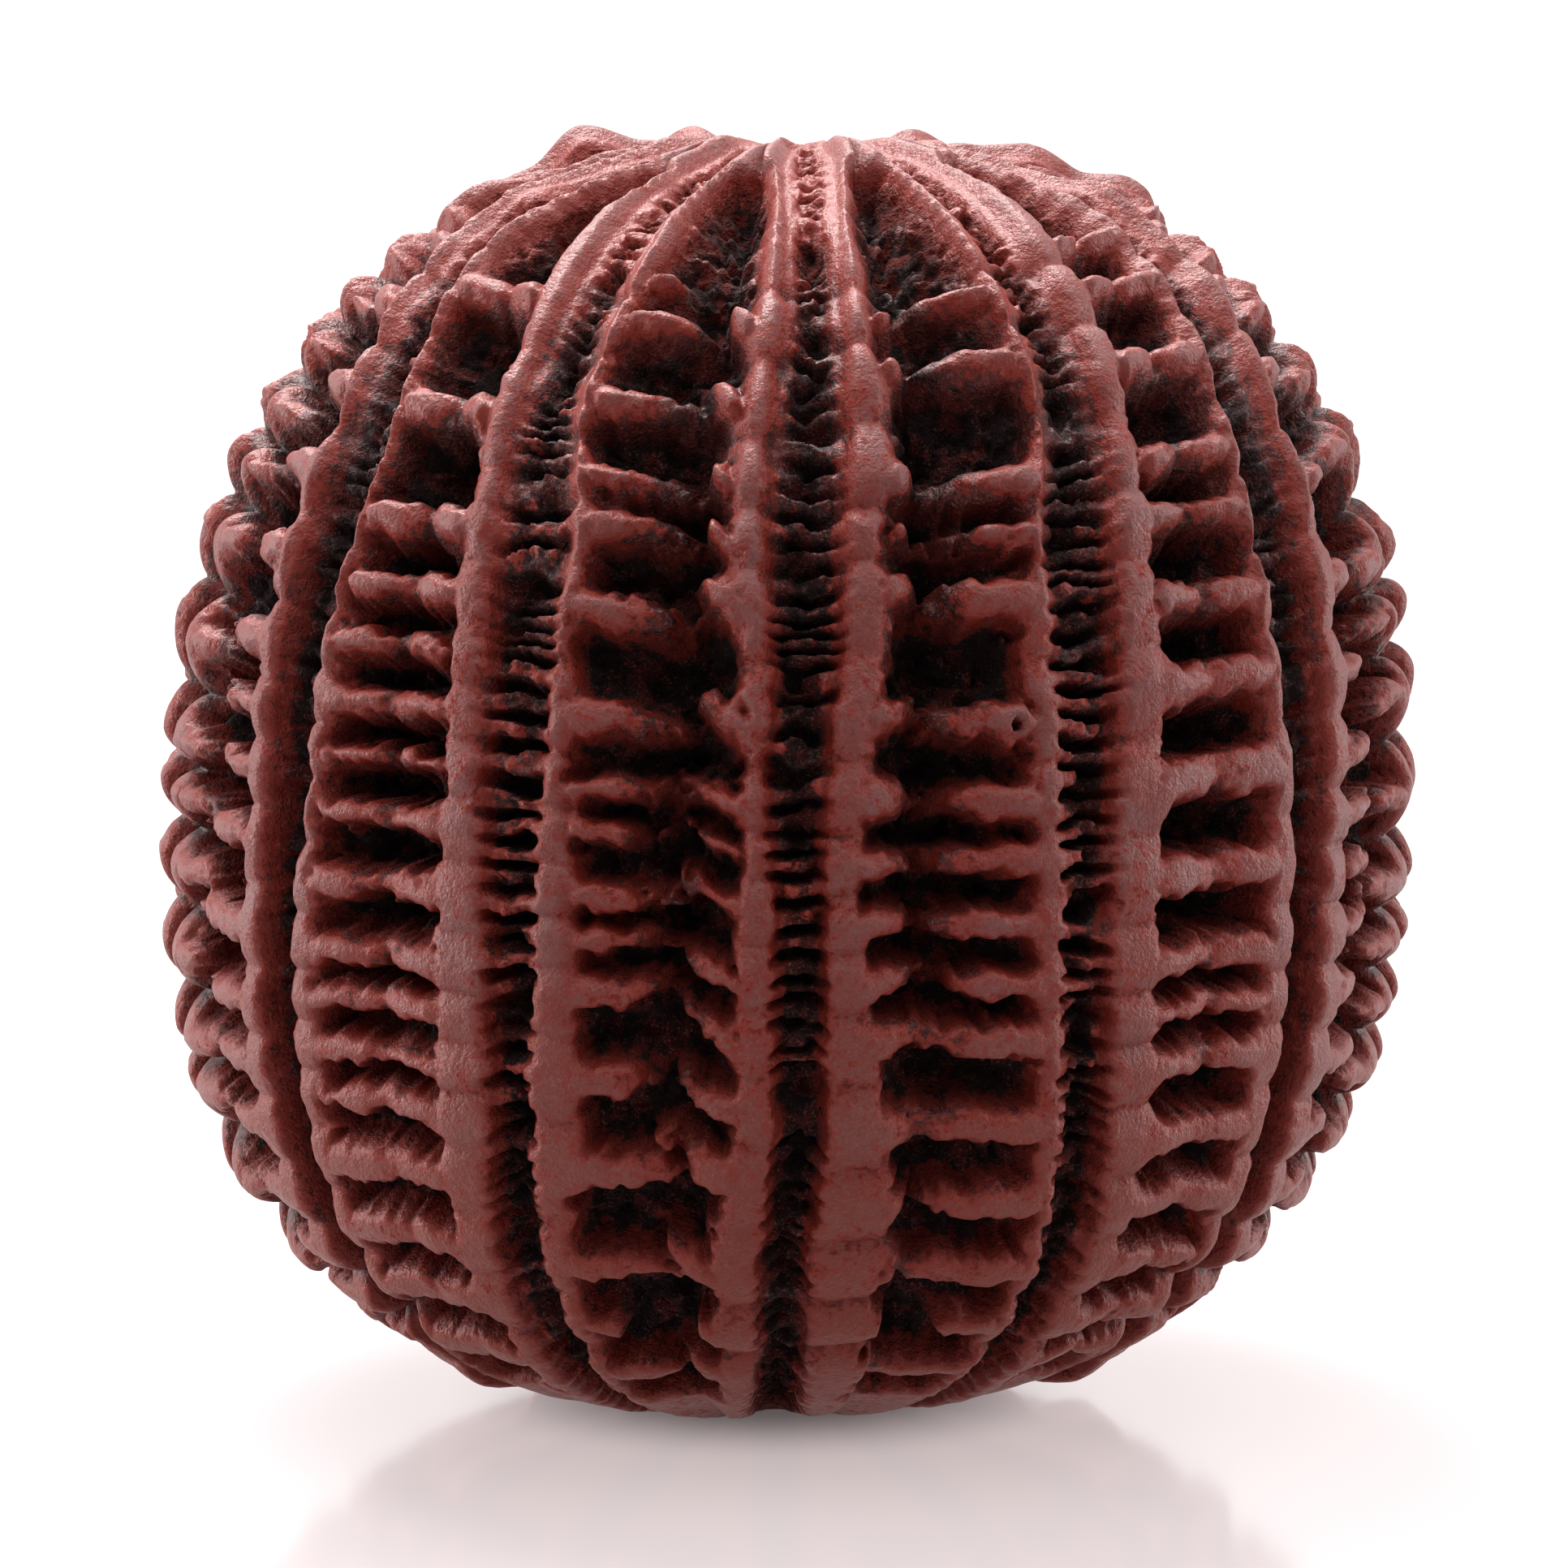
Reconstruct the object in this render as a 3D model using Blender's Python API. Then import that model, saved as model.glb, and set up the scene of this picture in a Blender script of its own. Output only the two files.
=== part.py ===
# A rudraksha seed of thirteen faces, standing on end, as one closed solid.
#
# The shell is a squat egg turned about +Z. Thirteen narrow grooves run from the foot to a point behind the
# top. Between two grooves lie a worn ridge, a band of pits, and a second ridge. Bars cross each band: they
# leave a ridge at its crest and sink towards a dark furrow along the band. All of it is one radial relief,
# worked out for any longitude and any height along the shell.
#
# Units in this file are millimetres and degrees until the mesh is made, in metres. Longitude 0 faces -Y
# and grows towards +X. A height along the shell ("arc") is measured up its outline from the lower pole.

import math
from dataclasses import dataclass

import bpy
import numpy as np

MM = 0.001

# Bare shell
SHELL_RADIUS = 11.9
SHELL_HEIGHT = 24.1
BELLY_HEIGHT = 11.25
UPPER_SQUARENESS = 2.40
LOWER_SQUARENESS = 2.57
SIDEWAYS_LEAN = 0.025
FOOT_CUT = 0.06
OUTLINE_STEPS = 4000

# Height along the shell that parts its lower half, with the foot, from its upper half
UPPER_HALF = 19.1

# The grooves run to a point set back from the shell's own axis
CROWN_SETBACK = 2.1
CROWN_CLIMB = (25.0, 33.5)

# Shallow hollow round the stem end, as its depth, its reach and its own setback
HOLLOW_DEPTH = 0.45
HOLLOW_REACH = (1.2, 3.4)
HOLLOW_SETBACK = 2.8

# Grooves, as the longitudes of their floors; the five that face forward are set, the rest share the back
FRONT_GROOVES = (-52.5, -25.5, 1.4, 28.6, 56.4)
SECTOR_COUNT = 13
GROOVE_DRIFT = 0.7

# Edges of the ridges at some heights along the shell, as shares of half a sector from its middle at 0 to the
# groove floor at 1: where the pits end and where the groove begins
EDGE_STOPS = (12.0, 14.5, 17.5, 20.7, 23.6, 26.0, 28.0, 30.5, 32.5)
USUAL_INNER = (0.53, 0.53, 0.54, 0.55, 0.52, 0.48, 0.48, 0.47, 0.45)
USUAL_OUTER = (0.86, 0.86, 0.85, 0.81, 0.78, 0.73, 0.75, 0.77, 0.79)
EDGE_SPREAD = 0.03
GROOVE_LEAST = 0.42
GROOVE_LEAST_SHARE = 0.4
RIDGE_LEAST = 0.42
RIDGE_NOTCH = 0.42
FACING_NOTCH = 0.18
FOOT_NOTCH = 0.34
FACING_FOOT_NOTCH = 0.06
KNOB_SHARPNESS = 0.7
FOOT_CLIMB = (8.5, 13.0)

# Bars
BAR_COUNT = 17
BAR_HALF_OF_PITCH = 0.25
BAR_HALF_LEAST = 0.22
BAR_TAPER_START = 0.35
BAR_TAPER_LATEST = 0.7
BAR_SLANT = 0.10
BAR_LOWEST = 8.3
BAR_HIGHEST = 31.6
CROSSING = 1.15
CROSSING_SHARE = 0.65

# Bars of the bands next to the two that face forward: shelves that cross the band, hardly tapered
SHELF_HALF_OF_PITCH = 0.24
SHELF_HALF_GREATEST = 0.44
SHELF_TAPER_START = 0.75

# How much of the usual drop the bars' tips have on the bands that don't face forward
SIDEWAYS_TIP_DROP = 0.55

# Ends of the pitted bands along the shell
BAND_LOWEST = 7.2
BAND_HIGHEST = 34.7
FAR_BAND_HIGHEST = 31.2

# What changes up the shell: a value for each of these heights
LEVELS = (10.5, 14.0, 18.0, 24.0, 28.5, 32.0)
PIT_DEPTHS = (1.05, 1.05, 1.15, 1.15, 1.15, 1.05)
FURROW_DEPTHS = (1.25, 1.45, 2.00, 2.00, 1.80, 1.40)
GROOVE_DEPTHS = (0.95, 1.10, 1.15, 1.15, 1.10, 0.95)
BAR_TIP_DROPS = (0.18, 0.24, 0.40, 0.48, 0.55, 0.45)
BAR_HALF_GREATEST = (0.38, 0.42, 0.35, 0.36, 0.44, 0.44)

# Knobs where the far faces end at the stem: sector, distance from the point the grooves run to, and rise
FAR_KNOBS = ((9, 4.1, 0.50), (8, 2.4, 0.48), (7, 3.2, 0.25), (6, 3.0, 0.15), (5, 3.2, 0.25), (4, 2.5, 0.45),
             (3, 4.4, 0.28), (3, 6.2, 0.34), (2, 6.4, 0.20), (10, 6.2, 0.20))
FAR_KNOB_REACH = 1.1

# Where the relief fades out towards the poles, as distances from the axis
UPPER_FADE = (0.8, 3.2)
LOWER_FADE = (1.7, 3.8)

# Slow unevenness of the whole shell
LUMP_HEIGHT = 0.10
SEED = 1913

# Bars seen on the two bands that face forward: height along the shell, and reach as a share of the way
# from ridge to furrow. Keys are the sector, counted from the one right of the front groove, and the side.
LEFT, RIGHT = -1, 1
FACING_BARS = {
    (12, LEFT): ((8.6, CROSSING), (10.2, 0.35), (11.8, CROSSING), (14.0, CROSSING), (15.8, 0.72), (17.4, 0.8),
                 (18.4, 0.75), (19.2, 0.8), (20.4, 0.8), (21.2, 0.85), (22.5, 0.85), (24.5, 1.0),
                 (26.1, 0.9), (27.0, 1.0), (28.6, CROSSING), (30.5, 1.0), (31.6, 0.42)),
    (12, RIGHT): ((8.4, CROSSING), (10.0, 0.5), (11.7, CROSSING), (13.9, CROSSING), (15.2, 0.95), (16.6, 0.9),
                  (17.7, 0.9), (19.1, 0.85), (20.1, 0.8), (20.9, 0.95), (22.5, 0.85), (24.7, 0.85),
                  (25.9, 0.5), (27.0, 0.5), (28.6, CROSSING), (30.4, 0.7), (32.2, 0.1)),
    (0, LEFT): ((8.7, CROSSING), (10.1, 0.4), (11.6, CROSSING), (13.15, CROSSING), (14.8, CROSSING),
                (16.5, CROSSING), (17.6, 0.8), (18.8, 0.75), (19.8, 0.9), (21.0, 0.8), (22.6, CROSSING),
                (24.9, 0.95), (26.0, 0.75), (27.0, 0.95), (29.3, CROSSING), (30.5, 0.6), (32.2, 0.1)),
    (0, RIGHT): ((8.3, CROSSING), (9.9, 0.5), (11.5, CROSSING), (13.1, CROSSING), (14.7, CROSSING),
                 (16.4, CROSSING), (17.5, 0.8), (18.6, 0.85), (19.8, 0.85), (20.9, 0.85),
                 (22.4, CROSSING), (24.7, 0.85), (25.9, 0.8), (26.9, 0.9), (29.4, CROSSING),
                 (31.0, 0.95), (32.4, 0.1)),
}

# Bars seen from the side, by height alone: on the next bands, on the ridges behind those, and on the
# ridges that make the outline
NEXT_LEFT_BARS = (8.8, 10.6, 12.1, 13.6, 14.9, 15.8, 16.8, 17.7, 19.0, 20.3, 21.4, 22.4, 23.5, 24.6,
                  25.9, 28.2, 31.0)
NEXT_RIGHT_BARS = (8.3, 9.6, 11.2, 12.7, 14.1, 15.6, 16.6, 17.6, 19.2, 21.0, 22.8, 24.4, 26.0, 27.1,
                   29.1, 31.0, 32.3)
BEHIND_LEFT_BARS = (8.3, 9.6, 11.0, 12.4, 13.9, 15.2, 16.4, 17.8, 19.5, 20.8, 22.0, 23.2, 24.9,
                    26.6, 28.3, 30.2, 31.8)
BEHIND_RIGHT_BARS = (8.3, 9.5, 10.8, 12.2, 13.6, 15.0, 16.4, 17.6, 18.7, 19.8, 20.9, 22.5, 24.2,
                     26.2, 28.4, 30.4, 32.0)
OUTLINE_LEFT_BARS = (8.4, 10.1, 12.0, 14.0, 15.0, 16.7, 18.4, 19.8, 20.8, 22.8, 24.8, 26.2, 27.4,
                     28.8, 29.9, 31.0, 32.3)
OUTLINE_RIGHT_BARS = (8.9, 10.1, 11.6, 12.9, 14.3, 15.6, 16.8, 18.0, 19.7, 21.7, 23.1, 24.2, 26.5,
                      28.0, 29.6, 30.9, 32.2)
SIDE_BARS = {
    (11, LEFT): NEXT_LEFT_BARS,
    (11, RIGHT): NEXT_LEFT_BARS,
    (1, LEFT): NEXT_RIGHT_BARS,
    (1, RIGHT): NEXT_RIGHT_BARS,
    (10, RIGHT): BEHIND_LEFT_BARS,
    (2, LEFT): BEHIND_RIGHT_BARS,
    (10, LEFT): OUTLINE_LEFT_BARS,
    (9, RIGHT): OUTLINE_LEFT_BARS,
    (2, RIGHT): OUTLINE_RIGHT_BARS,
    (3, LEFT): OUTLINE_RIGHT_BARS,
}

# Depths of the notches between the knobs of the ridges where they differ from the usual
NOTCHES = {(10, LEFT): 0.60, (9, RIGHT): 0.60, (2, RIGHT): 0.60, (3, LEFT): 0.60,
           (10, RIGHT): 0.24, (2, LEFT): 0.24}

# Ridge edges that differ from the usual ones: at every stop, or by as much everywhere
FACING_INNER = {
    (12, LEFT): (0.58, 0.53, 0.50, 0.54, 0.60, 0.52, 0.62, 0.54, 0.42),
    (12, RIGHT): (0.45, 0.56, 0.54, 0.60, 0.55, 0.42, 0.40, 0.46, 0.48),
    (0, LEFT): (0.28, 0.42, 0.56, 0.60, 0.46, 0.40, 0.37, 0.45, 0.50),
    (0, RIGHT): (0.70, 0.64, 0.60, 0.56, 0.49, 0.58, 0.66, 0.54, 0.55),
}
FACING_OUTER = {
    (12, LEFT): (0.82, 0.84, 0.86, 0.81, 0.78, 0.71, 0.80, 0.86, 0.84),
    (12, RIGHT): (0.84, 0.92, 0.89, 0.80, 0.79, 0.74, 0.76, 0.80, 0.84),
    (0, LEFT): (0.92, 0.88, 0.88, 0.87, 0.80, 0.78, 0.78, 0.80, 0.85),
    (0, RIGHT): (0.82, 0.82, 0.84, 0.78, 0.75, 0.71, 0.80, 0.86, 0.85),
}
NEXT_SHIFTS = {
    (11, LEFT): (0.03, -0.03),
    (11, RIGHT): (-0.10, 0.0),
    (1, LEFT): (-0.10, 0.03),
    (1, RIGHT): (-0.02, -0.05),
}

# Ridges that stay whole down to the foot
WHOLE_RIDGES = ((12, LEFT), (12, RIGHT), (0, LEFT), (0, RIGHT), (11, RIGHT), (1, LEFT))

# Furrow places, bar slants and groove drift, in degrees at every stop, of what faces forward
FACING_FURROWS = {12: 0.17, 0: -0.22, 11: 0.03, 1: 0.02}
FACING_SLANTS = {(12, RIGHT): 0.55, (12, LEFT): 0.0}
FACING_DRIFTS = {
    12: (-1.2, 0.3, 0.7, 0.0, -0.3, -1.1, -1.4, 0.6, 1.2),
    0: (-0.7, 0.3, 0.0, -0.4, 0.0, -0.3, 0.0, 0.0, 0.0),
    1: (2.5, 1.0, -0.3, -0.3, 0.0, 0.8, 1.2, -0.8, -2.6),
}

# Mesh: columns in a sector, rings below the lowest bar, rings towards the top as shares of the highest bar's
# ring, where the rows and columns stand on bars, bands and ridges, and how wide a wall is
COLUMNS = 8
ROUNDING = 1e-6
FOOT_RINGS = (2.1, 3.7, 5.6)
CROWN_SHARES = (0.80, 0.60, 0.40, 0.20)
BAR_ROW_SHARE = 0.72
BAND_COLUMN_SHARE = 0.38
EDGE_INSET = 0.08
WALL_WIDTH = 0.20


def smooth(value):
    """Ease from 0 to 1 between the values 0 and 1."""
    t = np.clip(value, 0.0, 1.0)
    return t * t * (3.0 - 2.0 * t)


def mixed(low, high, share):
    return low + (high - low) * share


def at_height(values, arc):
    """A value that changes up the shell."""
    return np.interp(arc, LEVELS, values)


def part_of_way(value, limits):
    """How far a value is from the first limit towards the second."""
    return (value - limits[0]) / (limits[1] - limits[0])


@dataclass
class Side:
    """One ridge with the bars that leave it."""
    heights: np.ndarray
    reach: np.ndarray
    half: np.ndarray
    slant: float
    inner: np.ndarray
    outer: np.ndarray
    notch: float
    foot_notch: float
    taper_start: float


@dataclass
class Sector:
    """The stretch from one groove floor to the next. Drift moves its first groove along the shell."""
    start: float
    drift: np.ndarray
    furrow: float
    band_top: float
    tip_drop: float
    knobs: list
    sides: dict


class Shell:
    """The bare egg: its outline as polar angle, distance and arc length from the lower pole."""

    def __init__(self):
        self.angle = np.linspace(-math.pi / 2, math.pi / 2, OUTLINE_STEPS + 1)
        self.distance = self.reach_at(self.angle)
        across = self.distance * np.cos(self.angle)
        along = self.distance * np.sin(self.angle)
        steps = np.hypot(np.diff(across), np.diff(along))
        self.arc = np.concatenate([[0.0], np.cumsum(steps)])

    def reach_at(self, angle):
        """Distance from the belly centre to the shell, at an angle above the belly."""
        upper = angle > 0
        power = np.where(upper, UPPER_SQUARENESS, LOWER_SQUARENESS)
        tall = np.where(upper, SHELL_HEIGHT - BELLY_HEIGHT, BELLY_HEIGHT)
        flat_part = np.abs(np.cos(angle) / SHELL_RADIUS) ** power
        tall_part = np.abs(np.sin(angle) / tall) ** power
        return (flat_part + tall_part) ** (-1.0 / power)

    def angle_at(self, arc):
        return np.interp(arc, self.arc, self.angle)

    def radius_at(self, arc):
        angle = self.angle_at(arc)
        return self.reach_at(angle) * np.cos(angle)

    def grown(self, longitude, arc):
        """Longitude and distance from the axis as the grooves run, to their own point near the top."""
        radius = self.radius_at(arc)
        setback = CROWN_SETBACK * smooth(part_of_way(arc, CROWN_CLIMB))
        turn = np.radians(longitude)
        side = radius * np.sin(turn)
        front = radius * np.cos(turn) + setback
        return np.degrees(np.arctan2(side, front)), np.hypot(side, front)

    def place(self, longitude, arc, raised):
        """Points at a height above the shell, with the lean and the flat foot."""
        angle = self.angle_at(arc)
        distance = self.reach_at(angle) + raised
        turn = np.radians(longitude)
        out = distance * np.cos(angle)
        up = BELLY_HEIGHT + distance * np.sin(angle)
        up = np.maximum(up, FOOT_CUT) - FOOT_CUT
        x = out * np.sin(turn) + SIDEWAYS_LEAN * up
        y = -out * np.cos(turn)
        return np.stack([x, y, up], axis=-1)

    def ungrown(self, turn, arc):
        """Longitude at which a line that leaves the grooves' point at a turn meets a height."""
        radius = self.radius_at(arc)
        setback = CROWN_SETBACK * smooth(part_of_way(arc, CROWN_CLIMB))
        turned = np.radians(turn)
        reach = setback * np.cos(turned) + np.sqrt(radius ** 2 - (setback * np.sin(turned)) ** 2)
        return np.degrees(np.arctan2(reach * np.sin(turned), reach * np.cos(turned) - setback))

    def towards_crown(self, longitude, arc, share):
        """Longitude and height of points moved to a share of their distance from the grooves' point."""
        turn = np.radians(longitude)
        side = self.radius_at(arc) * np.sin(turn) * share
        front = (self.radius_at(arc) * np.cos(turn) + CROWN_SETBACK) * share - CROWN_SETBACK
        radius = np.hypot(side, front)
        upper = self.arc > UPPER_HALF
        height = np.interp(-radius, -self.radius_at(self.arc[upper]), self.arc[upper])
        return np.degrees(np.arctan2(side, front)), height


def drawn_heights(draw):
    """Bar heights for a side that the front doesn't show: an even row, unsettled by a draw."""
    even = np.linspace(BAR_LOWEST, BAR_HIGHEST, BAR_COUNT)
    pitch = even[1] - even[0]
    return even + draw.uniform(-0.28, 0.28, BAR_COUNT) * pitch


def make_side(key, draw):
    """Bars and edges of one side of a sector."""
    if key in FACING_BARS:
        heights = np.array([height for height, reach in FACING_BARS[key]])
        reach = np.array([reach for height, reach in FACING_BARS[key]])
    else:
        heights = np.array(SIDE_BARS[key]) if key in SIDE_BARS else drawn_heights(draw)
        reach = draw.uniform(0.72, 0.98, len(heights))
        reach[draw.random(len(heights)) < CROSSING_SHARE] = CROSSING
    shelves = key in NEXT_SHIFTS
    if shelves:
        reach = np.full(len(heights), CROSSING)
    greatest = SHELF_HALF_GREATEST if shelves else at_height(BAR_HALF_GREATEST, heights)
    of_pitch = SHELF_HALF_OF_PITCH if shelves else BAR_HALF_OF_PITCH
    half = np.clip(of_pitch * np.gradient(heights), BAR_HALF_LEAST, greatest)
    slant = FACING_SLANTS.get(key, BAR_SLANT)
    inner_shift, outer_shift = NEXT_SHIFTS.get(key, draw.uniform(-EDGE_SPREAD, EDGE_SPREAD, 2))
    inner = np.array(FACING_INNER.get(key, np.array(USUAL_INNER) + inner_shift))
    outer = np.array(FACING_OUTER.get(key, np.array(USUAL_OUTER) + outer_shift))
    worn_smooth = key in FACING_INNER or key in NEXT_SHIFTS
    usual_notch = FACING_NOTCH if worn_smooth else NOTCHES.get(key, RIDGE_NOTCH)
    notch = draw.uniform(0.75, 1.2) * usual_notch
    foot_notch = FACING_FOOT_NOTCH if key in WHOLE_RIDGES else FOOT_NOTCH
    taper_start = SHELF_TAPER_START if shelves else BAR_TAPER_START
    return Side(heights, reach, half, slant, inner, outer, notch, foot_notch, taper_start)


def make_sectors():
    """All sectors, counted from the one right of the front groove, going towards +X."""
    draw = np.random.default_rng(SEED)
    front = list(FRONT_GROOVES)
    back_count = SECTOR_COUNT - len(front) + 1
    back = np.linspace(front[-1], front[0] + 360.0, back_count + 1)[1:-1]
    floors = front[2:] + list(back) + [front[0] + 360.0, front[1] + 360.0]
    sectors = []
    for number in range(SECTOR_COUNT):
        furrow = FACING_FURROWS.get(number, draw.uniform(-0.12, 0.12))
        drawn_drift = draw.uniform(-GROOVE_DRIFT, GROOVE_DRIFT, len(EDGE_STOPS))
        drift = np.array(FACING_DRIFTS.get(number, drawn_drift))
        sides = {side: make_side((number, side), draw) for side in (LEFT, RIGHT)}
        facing = math.cos(math.radians(floors[number] + 180.0 / SECTOR_COUNT))
        ends = [(distance, rise) for index, distance, rise in FAR_KNOBS if index == number]
        band_top = FAR_BAND_HIGHEST if facing < 0.0 else BAND_HIGHEST
        tip_drop = 1.0 if (number, LEFT) in FACING_BARS else SIDEWAYS_TIP_DROP
        sectors.append(Sector(floors[number], drift, furrow, band_top, tip_drop, ends, sides))
    return sectors


def groove_line(sector, arc):
    """Longitude of a sector's first groove floor at a height along the shell."""
    return sector.start + np.interp(arc, EDGE_STOPS, sector.drift)


def bar_share(side, arc, share):
    """How fully a bar covers a point, from 0 beside it to 1 on it."""
    along = arc[..., None] - side.heights - side.slant * share[..., None]
    taper_start = np.minimum(side.taper_start, side.reach * BAR_TAPER_LATEST)
    past = np.clip(share[..., None] - taper_start, 0.0, None) / (side.reach - taper_start)
    inside = side.half - np.hypot(along, past * side.half)
    return smooth(0.5 + inside / WALL_WIDTH).max(axis=-1)


def knobs(side, arc):
    """1 where a bar stands on its ridge, falling to 0 halfway to the next: round knobs with sharp notches."""
    phase = np.interp(arc, side.heights, np.arange(len(side.heights)))
    return np.abs(np.cos(math.pi * phase)) ** KNOB_SHARPNESS


def ridge_edges(side, half_width, arc):
    """Where a ridge begins and ends, as shares of half a sector; neither it nor its groove gets too thin."""
    groove_least = np.minimum(GROOVE_LEAST, GROOVE_LEAST_SHARE * half_width)
    outer = np.minimum(np.interp(arc, EDGE_STOPS, side.outer), 1.0 - groove_least / half_width)
    inner = np.minimum(np.interp(arc, EDGE_STOPS, side.inner), outer - RIDGE_LEAST / half_width)
    return inner, outer


def crest_drop(side, arc):
    """How far the ridge's crest lies below its knobs."""
    notch = side.notch + side.foot_notch * (1.0 - smooth(part_of_way(arc, FOOT_CLIMB)))
    return notch * (1.0 - knobs(side, arc))


def sector_relief(sector, across, half_width, arc, radius):
    """Height above the bare shell within one sector."""
    on_right = across > sector.furrow
    in_band = smooth((arc - BAND_LOWEST) / WALL_WIDTH) * smooth((sector.band_top - arc) / WALL_WIDTH)
    shares = []
    drops = []
    outers = []
    bars = []
    for sign, side in sector.sides.items():
        inner, outer = ridge_edges(side, half_width, arc)
        share = (inner - sign * across) / np.maximum(inner - sign * sector.furrow, 0.05)
        in_band = in_band * smooth((inner - sign * across) * half_width / WALL_WIDTH)
        bars.append(bar_share(side, arc, share))
        shares.append(share)
        drops.append(crest_drop(side, arc))
        outers.append(outer)
    share = np.clip(np.minimum(*shares), 0.0, 1.0)
    crest = -np.where(on_right, drops[1], drops[0]) * (1.0 - share)
    crest -= sector.tip_drop * at_height(BAR_TIP_DROPS, arc) * share ** 1.5
    pit = mixed(at_height(PIT_DEPTHS, arc), at_height(FURROW_DEPTHS, arc), smooth(share)) + crest
    pit *= in_band * (1.0 - np.maximum(*bars))
    outer = np.where(on_right, outers[1], outers[0])
    in_groove = smooth((np.abs(across) - outer) / (1.0 - outer))
    groove = at_height(GROOVE_DEPTHS, arc) * in_groove

    high_up = arc > UPPER_HALF
    fade_start = np.where(high_up, UPPER_FADE[0], LOWER_FADE[0])
    fade_end = np.where(high_up, UPPER_FADE[1], LOWER_FADE[1])
    depth = smooth((radius - fade_start) / (fade_end - fade_start))
    rise = sum(rise * (1.0 - smooth(np.abs(radius - distance) / FAR_KNOB_REACH))
               for distance, rise in sector.knobs)
    return depth * (crest - pit - groove) + rise


def hollow(spots):
    """Depth of the shallow hollow round the stem end."""
    away = np.hypot(spots[..., 0] - SIDEWAYS_LEAN * spots[..., 2], spots[..., 1] - HOLLOW_SETBACK)
    near = 1.0 - smooth(part_of_way(away, HOLLOW_REACH))
    return HOLLOW_DEPTH * near * smooth(part_of_way(spots[..., 2], (BELLY_HEIGHT, SHELL_HEIGHT)))


def lumps(longitude, arc):
    """Slow swells that keep the shell from being perfectly turned."""
    turn = np.radians(longitude)
    along = arc / 6.0
    swell = np.sin(2.0 * turn + 0.7 + along) + np.sin(3.0 * turn - 1.9 - 0.6 * along)
    return LUMP_HEIGHT * 0.5 * swell


def relief(shell, sectors, longitude, arc):
    """Height above the bare shell at each point of the mesh's columns; a sector has COLUMNS of them."""
    spots = shell.place(longitude, arc, np.zeros_like(arc))
    turn, radius = shell.grown(longitude, arc)
    result = np.zeros_like(arc)
    for index, sector in enumerate(sectors):
        own = slice(index * COLUMNS, (index + 1) * COLUMNS)
        start, end = groove_lines(sectors, index, arc[:, own])
        place = np.mod(turn[:, own] - start + ROUNDING, 360.0) / (end - start)
        half_width = np.radians(end - start) / 2 * radius[:, own]
        result[:, own] = sector_relief(sector, place * 2.0 - 1.0, half_width, arc[:, own], radius[:, own])
    return result + lumps(longitude, arc) - hollow(spots)


def column_rows(side, share):
    """Heights of the mesh rows on a side: below each bar's crest, above it, and in the pit over it."""
    centre = side.heights + side.slant * share
    low = centre - BAR_ROW_SHARE * side.half
    high = centre + BAR_ROW_SHARE * side.half
    pit = (high[:-1] + low[1:]) / 2
    rows = np.stack([low[:-1], high[:-1], pit], axis=-1).ravel()
    return np.concatenate([FOOT_RINGS, rows, [low[-1], high[-1]]])


def groove_lines(sectors, index, arc):
    """Turns of the groove floors on both sides of a sector."""
    following = sectors[(index + 1) % SECTOR_COUNT]
    end = groove_line(following, arc)
    if index == SECTOR_COUNT - 1:
        end = end + 360.0
    return groove_line(sectors[index], arc), end


def side_columns(side, sign, furrow, shell, arcs, half_turn):
    """Places across a sector of three mesh columns: groove edge, inner ridge edge, middle of the band."""
    edge_rows, band_rows = arcs
    half_width = half_turn * shell.radius_at(edge_rows)
    inner, outer = ridge_edges(side, half_width, edge_rows)
    inner = np.maximum(inner, sign * furrow + RIDGE_LEAST / half_width)
    outer = np.maximum(outer, inner + RIDGE_LEAST / half_width)
    inset = EDGE_INSET / half_width
    band = sign * inner + (furrow - sign * inner) * BAND_COLUMN_SHARE
    return [(sign * (outer - inset), edge_rows), (sign * (inner + inset), edge_rows), (band, band_rows)]


def sector_columns(shell, sectors, index):
    """Turn and height of each mesh column of a sector, from its first groove floor on."""
    sector = sectors[index]
    left = sector.sides[LEFT]
    right = sector.sides[RIGHT]
    before = sectors[index - 1].sides[RIGHT]
    half_turn = math.pi / SECTOR_COUNT
    floor_rows = (column_rows(before, 0.0) + column_rows(left, 0.0)) / 2
    furrow_rows = (column_rows(left, 1.0) + column_rows(right, 1.0)) / 2
    columns = [(np.full_like(floor_rows, -1.0), floor_rows)]
    for side, sign in ((left, LEFT), (right, RIGHT)):
        arcs = (column_rows(side, 0.0), column_rows(side, BAND_COLUMN_SHARE))
        stops = side_columns(side, sign, sector.furrow, shell, arcs, half_turn)
        if sign == LEFT:
            columns += stops + [(np.full_like(furrow_rows, sector.furrow), furrow_rows)]
        else:
            columns += stops[::-1]
    turned = []
    for across, rows in columns:
        start, end = groove_lines(sectors, index, rows)
        turned.append((start + (end - start) * (across + 1.0) / 2.0, rows))
    return turned


def seed_points(shell, sectors):
    """Rings of points from foot to crown, and the crown's middle."""
    columns = [column for index in range(SECTOR_COUNT) for column in sector_columns(shell, sectors, index)]
    turn = np.stack([column[0] for column in columns], axis=1)
    arc = np.stack([column[1] for column in columns], axis=1)
    longitude = shell.ungrown(turn, arc)
    crown = [shell.towards_crown(longitude[-1], arc[-1], share) for share in CROWN_SHARES + (0.0,)]
    longitude = np.concatenate([longitude, [place[0] for place in crown]])
    arc = np.concatenate([arc, [place[1] for place in crown]])
    points = shell.place(longitude, arc, relief(shell, sectors, longitude, arc))
    return points[:-1], points[-1].mean(axis=0)


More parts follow.
